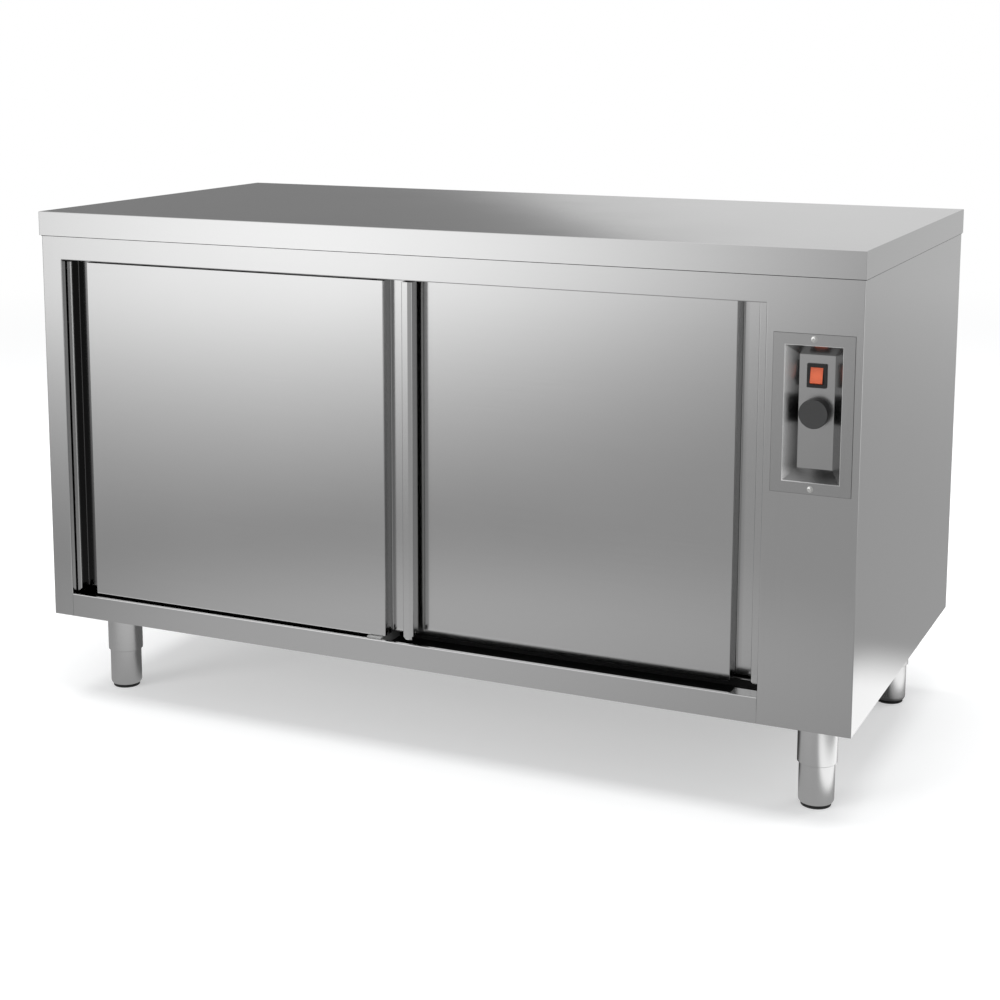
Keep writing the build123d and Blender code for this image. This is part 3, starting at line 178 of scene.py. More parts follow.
for angle, half_width, starts, full, brightness in SOFT_BOXES:
    aside = add(tree, "ShaderNodeMath", {"operation": "SUBTRACT"}, {0: turn, 1: (angle + 180) / 360})
    # the shorter way round, so that a box behind the cabinet has both its halves
    aside = add(tree, "ShaderNodeMath", {"operation": "PINGPONG"}, {0: aside.outputs[0], 1: 0.5})
    wide = {0: aside.outputs[0], 1: half_width / 360, 2: 0.0}
    bell = add(tree, "ShaderNodeMapRange", {"interpolation_type": "SMOOTHSTEP"}, wide)
    reach = add(tree, "ShaderNodeMapRange", {}, {0: apart, 1: starts, 2: full, 4: brightness})
    shade = add(
        tree,
        "ShaderNodeMath",
        {"operation": "MULTIPLY_ADD"},
        {0: bell.outputs[0], 1: reach.outputs[0], 2: shade},
    ).outputs[0]


def within(tree, value, low, high, soft):
    """1 where the value lies between low and high, fading over soft on both sides."""
    up = add(
        tree,
        "ShaderNodeMapRange",
        {"interpolation_type": "SMOOTHSTEP"},
        {0: value, 1: low - soft, 2: low + soft},
    )
    down = add(
        tree,
        "ShaderNodeMapRange",
        {"interpolation_type": "SMOOTHSTEP"},
        {0: value, 1: high + soft, 2: high - soft},
    )
    return add(
        tree, "ShaderNodeMath", {"operation": "MULTIPLY"}, {0: up.outputs[0], 1: down.outputs[0]}
    ).outputs[0]


# the shadow under the cabinet, the strip of floor that its right side lights up, and behind it a
# darker wall whose lower edge climbs to the right, which gives the worktop its dark end
WALL_CLIMB = 0.05  # metres up for each degree round
WALL_EDGE = (-15.5, -15.4)  # it fades in here, in height less the climb
SHADOW_GREY, STRIP_GREY, WALL_GREY = 0.05, 1.3, 0.24
slant = add(tree, "ShaderNodeMath", {"operation": "MULTIPLY_ADD"}, {0: turn, 1: -360 * WALL_CLIMB, 2: z})
above = add(
    tree,
    "ShaderNodeMapRange",
    {"interpolation_type": "SMOOTHSTEP"},
    {0: slant.outputs[0], 1: WALL_EDGE[0], 2: WALL_EDGE[1]},
)
behind = add(
    tree,
    "ShaderNodeMath",
    {"operation": "MULTIPLY"},
    {0: above.outputs[0], 1: within(tree, turn, 0.64, 1.2, 0.03)},
)
for one, other, grey in (
    (within(tree, x, -0.66, 0.66, 0.03), within(tree, y, -0.2, 0.32, 0.05), SHADOW_GREY),
    (within(tree, x, 0.72, 0.89, 0.025), within(tree, y, -0.62, 0.42, 0.16), STRIP_GREY),
    (behind.outputs[0], within(tree, z, 0.03, 2.5, 0.3), WALL_GREY),
):
    mask = add(tree, "ShaderNodeMath", {"operation": "MULTIPLY"}, {0: one, 1: other}).outputs[0]
    shade = add(tree, "ShaderNodeMix", {}, {0: mask, 2: shade, 3: grey}).outputs[0]
glow = add(tree, "ShaderNodeEmission", {}, {"Color": linear("FFFFFF"), "Strength": shade})
add(tree, "ShaderNodeOutputMaterial", {}, {"Surface": glow.outputs[0]})
bpy.ops.mesh.primitive_circle_add(vertices=96, radius=PAPER_RADIUS, fill_type="NGON", location=(0, 0, 0.002))
carpet = bpy.context.object
bpy.ops.mesh.primitive_cylinder_add(
    vertices=96,
    radius=PAPER_RADIUS,
    depth=PAPER_HEIGHT,
    end_fill_type="NOTHING",
    location=(0, 0, PAPER_HEIGHT / 2),
)
surround = bpy.context.object
for paper_piece, title in ((carpet, "gradient_carpet"), (surround, "gradient_surround")):
    paper_piece.name = title
    bpy.ops.object.select_all(action="DESELECT")
    paper_piece.select_set(True)
    bpy.context.view_layer.objects.active = paper_piece
    bpy.ops.object.transform_apply(location=True)
    paper_piece.data.materials.append(gradient)
    paper_piece.visible_camera = paper_piece.visible_diffuse = False
    paper_piece.visible_shadow = paper_piece.visible_transmission = False


# ---- body shell ----
# Side panels, header and sill folded from 1 mm AISI 304 sheet and spot welded at the hems. The
# outer faces are belt-ground to a fine satin, upright on the sides and lengthwise on the rails.
def satin_steel(name, grain, tone="C8C8C8", rough=0.13, streak=0.012):
    """Satin stainless: belt-ground along one axis, a clear mirror with its edges a little smeared."""
    made, tree = blank(name)
    place = add(tree, "ShaderNodeTexCoord")
    # real scratches are 0.02 to 0.1 mm wide: drawn 0.7 mm wide and 140 mm long so that they show
    stretch = [7.0 if axis in grain else 1400.0 for axis in "XYZ"]
    brush = add(tree, "ShaderNodeMapping", {}, {"Vector": place.outputs["Object"], "Scale": stretch})
    scratches = add(tree, "ShaderNodeTexNoise", {}, {"Vector": brush.outputs[0], "Scale": 1.0, "Detail": 2.0})
    # belt passes, 12 mm apart, and hand marks 200 mm across
    passes = add(
        tree,
        "ShaderNodeMapping",
        {},
        {"Vector": place.outputs["Object"], "Scale": [s * 0.06 for s in stretch]},
    )
    belt = add(tree, "ShaderNodeTexNoise", {}, {"Vector": passes.outputs[0], "Scale": 1.0, "Detail": 1.0})
    cloud = add(
        tree, "ShaderNodeTexNoise", {}, {"Vector": place.outputs["Object"], "Scale": 5.0, "Detail": 3.0}
    )
    fine = add(tree, "ShaderNodeMapRange", {}, {0: scratches.outputs[0], 1: 0.3, 2: 0.7})
    both = add(tree, "ShaderNodeMix", {}, {0: 0.25, 2: fine.outputs[0], 3: belt.outputs[0]}).outputs[0]
    low = [c * (1 - streak) for c in linear(tone)[:3]] + [1]
    high = [c * (1 + streak) for c in linear(tone)[:3]] + [1]
    colour = add(tree, "ShaderNodeMix", {"data_type": "RGBA"}, {0: both, 6: low, 7: high})
    gloss = add(
        tree,
        "ShaderNodeMapRange",
        {},
        {0: cloud.outputs[0], 1: 0.3, 2: 0.7, 3: rough - 0.012, 4: rough + 0.012},
    )
    gloss = add(
        tree,
        "ShaderNodeMath",
        {"operation": "MULTIPLY_ADD"},
        {0: fine.outputs[0], 1: 0.012, 2: gloss.outputs[0]},
    )
    bump = add(
        tree, "ShaderNodeBump", {}, {"Height": scratches.outputs[0], "Strength": 0.03, "Distance": 0.0001}
    )
    steel = {
        "Base Color": colour.outputs[2],
        "Metallic": 1.0,
        "Roughness": gloss.outputs[0],
        "Normal": bump.outputs[0],
    }
    add(
        tree,
        "ShaderNodeOutputMaterial",
        {},
        {"Surface": add(tree, "ShaderNodeBsdfPrincipled", {}, steel).outputs[0]},
    )
    return made


def clouded(name, dark, light, metal, rough, cloud_mm, grit_mm, relief=0.05, spread=0.04):
    """A surface with no grain of its own: soft clouds of one size over a fine grit of another."""
    made, tree = blank(name)
    place = add(tree, "ShaderNodeTexCoord")
    cloud = add(
        tree,
        "ShaderNodeTexNoise",
        {},
        {"Vector": place.outputs["Object"], "Scale": 1000 / cloud_mm, "Detail": 5.0},
    )
    grit = add(
        tree,
        "ShaderNodeTexNoise",
        {},
        {"Vector": place.outputs["Object"], "Scale": 1000 / grit_mm, "Detail": 2.0},
    )
    part = add(tree, "ShaderNodeMapRange", {}, {0: cloud.outputs[0], 1: 0.3, 2: 0.7})
    both = add(tree, "ShaderNodeMix", {}, {0: 0.3, 2: part.outputs[0], 3: grit.outputs[0]}).outputs[0]
    colour = add(tree, "ShaderNodeMix", {"data_type": "RGBA"}, {0: both, 6: linear(dark), 7: linear(light)})
    gloss = add(
        tree,
        "ShaderNodeMapRange",
        {},
        {0: cloud.outputs[0], 1: 0.3, 2: 0.7, 3: rough - spread, 4: rough + spread},
    )
    bump = add(
        tree,
        "ShaderNodeBump",
        {},
        {"Height": grit.outputs[0], "Strength": relief, "Distance": grit_mm / 4000},
    )
    skin = {
        "Base Color": colour.outputs[2],
        "Metallic": metal,
        "Roughness": gloss.outputs[0],
        "Normal": bump.outputs[0],
    }
    add(
        tree,
        "ShaderNodeOutputMaterial",
        {},
        {"Surface": add(tree, "ShaderNodeBsdfPrincipled", {}, skin).outputs[0]},
    )
    return made


def dress(material, *names):
    """Give finished nodes their material."""
    for name in names:
        nodes[name].data.materials.clear()
        nodes[name].data.materials.append(material)


lengthwise = satin_steel("satin_stainless_lengthwise", "X")
upright = satin_steel("satin_stainless_upright", "Z")
dress(lengthwise, "header_rail", "bottom_rail")
dress(upright, "left_side_panel", "right_side_panel")


# ---- rear panel and base pan ----
# Nobody sees these once it stands in place, so they keep the mill's 2B finish: no grain, a soft
# grey bloom 120 mm across from the rolls. The pan closes the body below and carries the legs.
mill_sheet = clouded("mill_2b_stainless", "B4B4B3", "BCBCBB", 1.0, 0.25, 160, 1.2, spread=0.012)
dress(mill_sheet, "rear_panel", "base_pan")


# ---- rivets of the rear panel ----
# Steel pop rivets, 6.5 mm heads with the broken mandrel in the middle, seven up each rear flange.
# They hold the panel that comes off for service.
SMOOTH_UNDER = 35


def only(piece):
    """Select one piece alone and make it the active one."""
    bpy.ops.object.select_all(action="DESELECT")
    piece.select_set(True)
    bpy.context.view_layer.objects.active = piece


def made_here(piece, name, material, body):
    """Put a finished piece's place into its mesh, name it, dress it and let it ride."""
    only(piece)
    bpy.ops.object.transform_apply(location=True, rotation=True, scale=True)
    bpy.ops.object.mode_set(mode="EDIT")
    bpy.ops.mesh.select_all(action="SELECT")
    bpy.ops.mesh.normals_make_consistent(inside=False)
    bpy.ops.object.mode_set(mode="OBJECT")
    bpy.ops.object.shade_smooth_by_angle(angle=math.radians(SMOOTH_UNDER))
    piece.name = piece.data.name = name
    piece.data.materials.clear()
    piece.data.materials.append(material)
    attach(piece, body)


RIVET_RADIUS = 0.00325
RIVET_PLACE = (0.6855, 0.347, 0.19)
RIVET_PITCH = 0.0975
RIVETS_A_SIDE = 7
RIVET_RINGS = ((0.0004, 0.0004), (0.0007, 0.0003), (0.0008, 0.00015), (0.0003, -0.0003), (0.0003, 0.0002))
bright_zinc = clouded("zinc_plated_steel", "A8ABAD", "C6C9CB", 1.0, 0.28, 6, 0.6)
bpy.ops.object.select_all(action="DESELECT")
bpy.ops.mesh.primitive_circle_add(
    vertices=24, radius=RIVET_RADIUS, fill_type="NGON", location=RIVET_PLACE, rotation=(
        math.radians(-90), 0, 0
    )
)
first_rivet = bpy.context.object
bpy.ops.object.transform_apply(location=True, rotation=True)
bpy.ops.object.mode_set(mode="EDIT")
bpy.ops.mesh.select_all(action="SELECT")
bpy.ops.mesh.extrude_region_move(TRANSFORM_OT_translate={"value": (0, 0.0003, 0)})
for width, rise in RIVET_RINGS:
    bpy.ops.mesh.inset(thickness=width, depth=rise)
bpy.ops.object.mode_set(mode="OBJECT")
rivets = [first_rivet]
for side in (1, -1):
    for level in range(RIVETS_A_SIDE):
        if side == 1 and level == 0:
            continue
        only(first_rivet)
        bpy.ops.object.duplicate(linked=False)
        rivet = bpy.context.object
        rivet.location = (0 if side == 1 else -2 * RIVET_PLACE[0], 0, level * RIVET_PITCH)
        bpy.ops.object.transform_apply(location=True)
        rivets.append(rivet)
bpy.ops.object.select_all(action="DESELECT")
for rivet in rivets:
    rivet.select_set(True)
bpy.context.view_layer.objects.active = first_rivet
bpy.ops.object.join()
made_here(first_rivet, "rear_rivets", bright_zinc, "cabinet")


# ---- insulation ----
# Slabs of mineral wool, pushed in between the skins under, over, behind and beside the cavity.
# Crimped brown-yellow fibres in loose layers, with darker binder blotches.
def mineral_wool(name, across):
    """Matt fibre wool, with its layers lying across one axis."""
    made, tree = blank(name)
    place = add(tree, "ShaderNodeTexCoord")
    # fibres are some 0.006 mm thick: drawn as 1.5 mm tufts, 12 mm long
    stretch = [650.0 if axis == across else 85.0 for axis in "XYZ"]
    lay = add(tree, "ShaderNodeMapping", {}, {"Vector": place.outputs["Object"], "Scale": stretch})
    tufts = add(
        tree,
        "ShaderNodeTexNoise",
        {},
        {"Vector": lay.outputs[0], "Scale": 1.0, "Detail": 6.0, "Distortion": 1.2},
    )
    binder = add(
        tree, "ShaderNodeTexNoise", {}, {"Vector": place.outputs["Object"], "Scale": 22.0, "Detail": 2.0}
    )
    fibre = add(tree, "ShaderNodeMapRange", {}, {0: tufts.outputs[0], 1: 0.3, 2: 0.7})
    blotch = add(tree, "ShaderNodeMapRange", {}, {0: binder.outputs[0], 1: 0.45, 2: 0.75, 3: 0.0, 4: 0.6})
    wool = add(
        tree,
        "ShaderNodeMix",
        {"data_type": "RGBA"},
        {0: fibre.outputs[0], 6: linear("8E7B4A"), 7: linear("CDBB86")},
    )
    wool = add(
        tree,
        "ShaderNodeMix",
        {"data_type": "RGBA"},
        {0: blotch.outputs[0], 6: wool.outputs[2], 7: linear("7A6438")},
    )
    bump = add(tree, "ShaderNodeBump", {}, {"Height": tufts.outputs[0], "Strength": 0.8, "Distance": 0.0015})
    skin = {"Base Color": wool.outputs[2], "Roughness": 0.95, "Normal": bump.outputs[0]}
    add(
        tree,
        "ShaderNodeOutputMaterial",
        {},
        {"Surface": add(tree, "ShaderNodeBsdfPrincipled", {}, skin).outputs[0]},
    )
    return made


dress(mineral_wool("mineral_wool_slab", "Z"), "insulation")


# ---- hot cavity ----
# Liners, deck and ceiling of bright-annealed sheet, wiped clean: nearly a mirror, faintly clouded.
# The shelf is perforated for the warm air and hangs on two folded angles.
bright_sheet = clouded(
    "bright_annealed_stainless", "C2C2C1", "CACAC9", 1.0, 0.17, 120, 1.0, relief=0.03, spread=0.012
)
dress(bright_sheet, "left_liner", "right_liner", "rear_liner", "ceiling_liner", "floor_deck")
dress(lengthwise, "shelf")
dress(mill_sheet, "shelf_angles")


# ---- heater and fan ----
# A sheathed ring element round a pressed aluminium impeller, in a duct of galvanised sheet that
# blows through the liner. The motor is a stack of laminations on a flange.
def galvanised(name, tone_low="9DA1A4", tone_high="BFC3C6"):
    """Hot-dipped zinc: flat spangles 11 mm across, each a slightly different grey and gloss."""
    made, tree = blank(name)
    place = add(tree, "ShaderNodeTexCoord")
    spangle = add(
        tree,
        "ShaderNodeTexVoronoi",
        {},
        {"Vector": place.outputs["Object"], "Scale": 90.0, "Randomness": 1.0},
    )
    tint = add(tree, "ShaderNodeSeparateColor", {}, {0: spangle.outputs["Color"]})
    dust = add(
        tree, "ShaderNodeTexNoise", {}, {"Vector": place.outputs["Object"], "Scale": 700.0, "Detail": 3.0}
    )
    part = add(tree, "ShaderNodeMix", {}, {0: 0.2, 2: tint.outputs[0], 3: dust.outputs[0]})
    zinc = add(
        tree,
        "ShaderNodeMix",
        {"data_type": "RGBA"},
        {0: part.outputs[0], 6: linear(tone_low), 7: linear(tone_high)},
    )
    gloss = add(tree, "ShaderNodeMapRange", {}, {0: tint.outputs[1], 3: 0.3, 4: 0.46})
    bump = add(tree, "ShaderNodeBump", {}, {"Height": tint.outputs[0], "Strength": 0.1, "Distance": 0.0002})
    skin = {
        "Base Color": zinc.outputs[2],
        "Metallic": 1.0,
        "Roughness": gloss.outputs[0],
        "Normal": bump.outputs[0],
    }
    add(
        tree,
        "ShaderNodeOutputMaterial",
        {},
        {"Surface": add(tree, "ShaderNodeBsdfPrincipled", {}, skin).outputs[0]},
    )
    return made


zinc_sheet = galvanised("hot_dip_galvanised_steel")
dress(zinc_sheet, "air_duct")
dress(clouded("pressed_aluminium", "BFC1C3", "D3D5D6", 1.0, 0.32, 25, 0.8), "fan_impeller")

# incoloy sheath, blued and straw-coloured in 30 mm zones where it has run hot
HEAT_TINTS = ((0.3, "3A3634"), (0.45, "5B4A3A"), (0.58, "4A4C5A"), (0.72, "6E6257"))
sheath, tree = blank("heat_tinted_sheath")
place = add(tree, "ShaderNodeTexCoord")
heat = add(tree, "ShaderNodeTexNoise", {}, {"Vector": place.outputs["Object"], "Scale": 33.0, "Detail": 3.0})
tint = add(tree, "ShaderNodeValToRGB", {}, {0: heat.outputs[0]})
marks = tint.color_ramp.elements
while len(marks) < len(HEAT_TINTS):
    marks.new(0.5)
for mark, (where, hex_colour) in zip(marks, HEAT_TINTS):
    mark.position = where
for mark, (where, hex_colour) in zip(marks, HEAT_TINTS):
    mark.color = linear(hex_colour)
scale_skin = add(
    tree, "ShaderNodeTexNoise", {}, {"Vector": place.outputs["Object"], "Scale": 900.0, "Detail": 2.0}
)
bump = add(tree, "ShaderNodeBump", {}, {"Height": scale_skin.outputs[0], "Strength": 0.2, "Distance": 0.0002})
skin = {"Base Color": tint.outputs[0], "Metallic": 1.0, "Roughness": 0.42, "Normal": bump.outputs[0]}
add(
    tree,
    "ShaderNodeOutputMaterial",
    {},
    {"Surface": add(tree, "ShaderNodeBsdfPrincipled", {}, skin).outputs[0]},
)
dress(sheath, "heating_element")

# electrical steel stampings are 0.5 mm thick: drawn 2 mm thick so that they show as lines
stack, tree = blank("laminated_motor_steel")
place = add(tree, "ShaderNodeTexCoord")
sheets = add(
    tree,
    "ShaderNodeTexWave",
    {"bands_direction": "X"},
    {"Vector": place.outputs["Object"], "Scale": 78.0, "Distortion": 0.3},
)
rust = add(tree, "ShaderNodeTexNoise", {}, {"Vector": place.outputs["Object"], "Scale": 120.0, "Detail": 4.0})
base = add(
    tree,
    "ShaderNodeMix",
    {"data_type": "RGBA"},
    {0: sheets.outputs["Fac"], 6: linear("3B3B3D"), 7: linear("77787A")},
)
patina = add(tree, "ShaderNodeMapRange", {}, {0: rust.outputs[0], 1: 0.55, 2: 0.75, 3: 0.0, 4: 0.5})
base = add(
    tree,
    "ShaderNodeMix",
    {"data_type": "RGBA"},
    {0: patina.outputs[0], 6: base.outputs[2], 7: linear("5A4334")},
)
bump = add(tree, "ShaderNodeBump", {}, {"Height": sheets.outputs["Fac"], "Strength": 0.4, "Distance": 0.0004})
skin = {"Base Color": base.outputs[2], "Metallic": 0.9, "Roughness": 0.45, "Normal": bump.outputs[0]}
add(
    tree,
    "ShaderNodeOutputMaterial",
    {},
    {"Surface": add(tree, "ShaderNodeBsdfPrincipled", {}, skin).outputs[0]},
)
dress(stack, "fan_motor")


# ---- mains side ----
# The mains goes in by a nylon gland under the column to a steatite terminal block. Steatite is a
# fired white ceramic with a dull glaze; the gland is spark-textured black nylon.
dress(clouded("steatite_ceramic", "D9D6CC", "E6E3DA", 0.0, 0.4, 14, 0.5), "terminal_block")
dress(clouded("black_nylon", "171717", "222222", 0.0, 0.48, 18, 0.4, relief=0.2), "cable_gland")


# ---- door tracks and guides ----
# Two channel tracks of galvanised steel are screwed under the header, with a rubber buffer at
# each end. At the sill the doors run on a moulded nylon guide, in a track lined in black plastic.
dress(zinc_sheet, "left_door_track", "right_door_track")
dress(clouded("black_rubber", "141414", "1E1E1E", 0.0, 0.7, 8, 0.5, relief=0.15), "track_buffers")
dress(clouded("black_pvc_liner", "090909", "101010", 0.0, 0.5, 30, 0.6), "track_liner")
dress(clouded("natural_nylon", "9F9F9E", "ABABAA", 0.0, 0.42, 10, 0.5, relief=0.1), "door_guide")


# ---- sliding doors ----
# Each door is a front tray with two pressed finger channels, closed by a back tray over a wool
# core. The fronts are ground lengthwise like the rails; the backs are left as the mill made them.
# The finger channels have painted shade: their colour is darkened across each, darkest at the steep wall.
LIP_WIDTH = 0.0175
CHANNEL_WIDTH = 0.03175
LIP_SLOPE = 0.0022
# painted shade across the finger channels: each stop is a part of the way across and the share of colour left
LEFT_CHANNEL_SHADE = ((0.4, 0.2), (1.0, 1.0))
RIGHT_CHANNEL_SHADE = ((0.0, 0.7), (0.4, 1.0))


def ramped(tree, value, low, high, stops):
    """A share by place: each stop is a part of the way from low to high, and its share."""
    way = add(tree, "ShaderNodeMapRange", {}, {0: value, 1: low, 2: high})
    ramp = add(tree, "ShaderNodeValToRGB", {}, {0: way.outputs[0]})
    marks = ramp.color_ramp.elements
    while len(marks) < len(stops):
        marks.new(0.5)
    for mark, (where, share) in zip(marks, stops):
        mark.position = where
    for mark, (where, share) in zip(marks, stops):
        mark.color = (share, share, share, 1)
    return ramp.outputs[0]


def painted_light_and_shade(material, share):
    """Paint light and shade into a finished steel: its own colour is multiplied by a share."""
    tree = material.node_tree
    steel = [node for node in tree.nodes if node.type == "BSDF_PRINCIPLED"][0]
    ground = steel.inputs["Base Color"].links[0].from_socket
    colour = add(
        tree, "ShaderNodeMix", {"data_type": "RGBA", "blend_type": "MULTIPLY"}, {0: 1.0, 6: ground, 7: share}
    )
    tree.links.new(colour.outputs[2], steel.inputs["Base Color"])


for name in ("left_door_front", "right_door_front"):
    low_corner, high_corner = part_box(name)
    door_steel = satin_steel("satin_stainless_" + name, "X")
    tree = door_steel.node_tree
    place = add(tree, "ShaderNodeTexCoord")
    x, y, z = add(tree, "ShaderNodeSeparateXYZ", {}, {0: place.outputs["Object"]}).outputs
    starts = (low_corner[0] + LIP_WIDTH, high_corner[0] - LIP_WIDTH - CHANNEL_WIDTH)
    # painted shade in both finger channels, only where the surface lies behind the front face
    painted_channel_shade = [
        ramped(tree, x, start, start + CHANNEL_WIDTH, stops)
        for start, stops in zip(starts, (LEFT_CHANNEL_SHADE, RIGHT_CHANNEL_SHADE))
    ]
    half_way = add(
        tree, "ShaderNodeMath", {"operation": "GREATER_THAN"}, {0: x, 1: (low_corner[0] + high_corner[0]) / 2}
    )
    channel = add(
        tree, "ShaderNodeMix", {"data_type": "RGBA"}, {0: half_way.outputs[0], 6: painted_channel_shade[0], 7: painted_channel_shade[1]}
    )
    deep = add(
        tree, "ShaderNodeMapRange", {}, {0: y, 1: low_corner[1] + LIP_SLOPE, 2: low_corner[1] + 2 * LIP_SLOPE}
    )
    share = add(
        tree,
        "ShaderNodeMix",
        {"data_type": "RGBA"},
        {0: deep.outputs[0], 6: (1, 1, 1, 1), 7: channel.outputs[2]},
    )
    painted_light_and_shade(door_steel, share.outputs[2])
    dress(door_steel, name)
dress(mill_sheet, "left_door_back", "right_door_back")
dress(mineral_wool("mineral_wool_door_core", "Y"), "left_door_core", "right_door_core")


# ---- hangers and wheels ----
# Pressed hangers carry each door on two pairs of nylon wheels; each pair turns on a bright steel axle,
# which shows at the hub. The hangers' near-black zinc colour is painted shade, keeping the gap over the doors
# one unbroken shadow.
dress(
    clouded("black_zinc_painted_shade", "141416", "232326", 0.6, 0.45, 12, 0.5),
    "left_door_hangers",
    "right_door_hangers",
)
AXLE_RADIUS = 0.0026
for name in ("left_door_wheels_1", "left_door_wheels_2", "right_door_wheels_1", "right_door_wheels_2"):
    low_corner, high_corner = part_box(name)
    wheel, tree = blank("nylon_wheel_on_steel_axle_" + name)
    place = add(tree, "ShaderNodeTexCoord")
    centre = [-(low_corner[i] + high_corner[i]) / 2 for i in range(3)]
    hub = add(tree, "ShaderNodeMapping", {}, {"Vector": place.outputs["Object"], "Location": centre})
    side = add(tree, "ShaderNodeMapping", {}, {"Vector": hub.outputs[0], "Scale": (1, 0, 1)})
    out = add(tree, "ShaderNodeVectorMath", {"operation": "LENGTH"}, {0: side.outputs[0]}).outputs["Value"]
    axle = add(tree, "ShaderNodeMath", {"operation": "LESS_THAN"}, {0: out, 1: AXLE_RADIUS}).outputs[0]
    # faint rings where the tread has run, 1.2 mm apart
    rings = add(
        tree,
        "ShaderNodeMath",
        {"operation": "SINE"},
        {0: add(tree, "ShaderNodeMath", {"operation": "MULTIPLY"}, {0: out, 1: 5200.0}).outputs[0]},
    )
    wear = add(tree, "ShaderNodeMapRange", {}, {0: rings.outputs[0], 1: -1.0, 2: 1.0})
    nylon = add(
        tree,
        "ShaderNodeMix",
        {"data_type": "RGBA"},
        {0: wear.outputs[0], 6: linear("BDBDB6"), 7: linear("D2D2CB")},
    )
    colour = add(
        tree, "ShaderNodeMix", {"data_type": "RGBA"}, {0: axle, 6: nylon.outputs[2], 7: linear("B4B6B8")}
    )
    gloss = add(tree, "ShaderNodeMapRange", {}, {0: axle, 3: 0.45, 4: 0.25})
    skin = {"Base Color": colour.outputs[2], "Metallic": axle, "Roughness": gloss.outputs[0]}
    add(
        tree,
        "ShaderNodeOutputMaterial",
        {},
        {"Surface": add(tree, "ShaderNodeBsdfPrincipled", {}, skin).outputs[0]},
    )
    dress(wheel, name)


# ---- worktop ----
# A folded tray of 1.5 mm AISI 304 ground lengthwise, with a chipboard slab bonded inside so that
# it doesn't drum, and three hat rails of galvanised steel across.
dress(satin_steel("satin_stainless_worktop", "X", rough=0.1, streak=0.012), "worktop")
dress(zinc_sheet, "worktop_rails")

board, tree = blank("chipboard")
place = add(tree, "ShaderNodeTexCoord")
# wood chips 4 mm across, pressed flat, with finer dust between
flat_chip = add(tree, "ShaderNodeMapping", {}, {"Vector": place.outputs["Object"], "Scale": (240, 240, 700)})
chips = add(tree, "ShaderNodeTexVoronoi", {}, {"Vector": flat_chip.outputs[0], "Scale": 1.0})
tint = add(tree, "ShaderNodeSeparateColor", {}, {0: chips.outputs["Color"]})
wood = add(
    tree,
    "ShaderNodeMix",
    {"data_type": "RGBA"},
    {0: tint.outputs[0], 6: linear("9B7748"), 7: linear("CDAE7C")},
)
bump = add(tree, "ShaderNodeBump", {}, {"Height": tint.outputs[0], "Strength": 0.5, "Distance": 0.0005})
skin = {"Base Color": wood.outputs[2], "Roughness": 0.85, "Normal": bump.outputs[0]}
add(
    tree,
    "ShaderNodeOutputMaterial",
    {},
    {"Surface": add(tree, "ShaderNodeBsdfPrincipled", {}, skin).outputs[0]},
)
dress(board, "worktop_board")


# ---- seal under the worktop ----
# A bead of dark grey silicone closes the joint between the body and the worktop all round, a little
# proud of the body and tooled round. Its dark colour is painted shade: it stands in for the shadow line under
# the worktop's edge.
SEAL_LEVEL = 0.81
SEAL_DEPTH = 0.0016
SEAL_HALF = (0.6988, 0.34675)
SEAL_MIDDLE = 0.00075
SEAL_WIDTH = 0.0011
CLOSE = 1e-5
# near-black, a painted shadow line for the beads under the worktop and round the control plate
shadow_line_silicone = clouded("dark_silicone_painted_shadow", "1C1C1C", "282828", 0.0, 0.4, 25, 0.8)
bpy.ops.object.select_all(action="DESELECT")
bpy.ops.mesh.primitive_plane_add(size=2, location=(0, SEAL_MIDDLE, SEAL_LEVEL))
seal = bpy.context.object
seal.scale = (SEAL_HALF[0], SEAL_HALF[1], 1)
bpy.ops.object.transform_apply(location=True, scale=True)
bpy.ops.object.mode_set(mode="EDIT")
bpy.ops.mesh.select_all(action="SELECT")
bpy.ops.mesh.inset(thickness=SEAL_WIDTH, depth=0)
bpy.ops.mesh.delete(type="FACE")
bpy.ops.mesh.select_all(action="SELECT")
bpy.ops.mesh.extrude_region_move(TRANSFORM_OT_translate={"value": (0, 0, -SEAL_DEPTH)})
bpy.ops.mesh.select_all(action="DESELECT")
bpy.ops.object.mode_set(mode="OBJECT")
lowest = SEAL_LEVEL - SEAL_DEPTH
for edge in seal.data.edges:
    ends = [seal.data.vertices[v].co for v in edge.vertices]
    outer = all(abs(abs(p.x) - SEAL_HALF[0]) < CLOSE for p in ends) or all(
        abs(abs(p.y - SEAL_MIDDLE) - SEAL_HALF[1]) < CLOSE for p in ends
    )
    edge.select = outer and all(abs(p.z - lowest) < CLOSE for p in ends)
bpy.ops.object.mode_set(mode="EDIT")
bpy.ops.mesh.select_mode(type="EDGE")
bpy.ops.mesh.bevel(offset=0.0006, segments=3)
bpy.ops.mesh.select_mode(type="VERT")
bpy.ops.object.mode_set(mode="OBJECT")
made_here(seal, "worktop_shadow_line_seal", shadow_line_silicone, "cabinet")


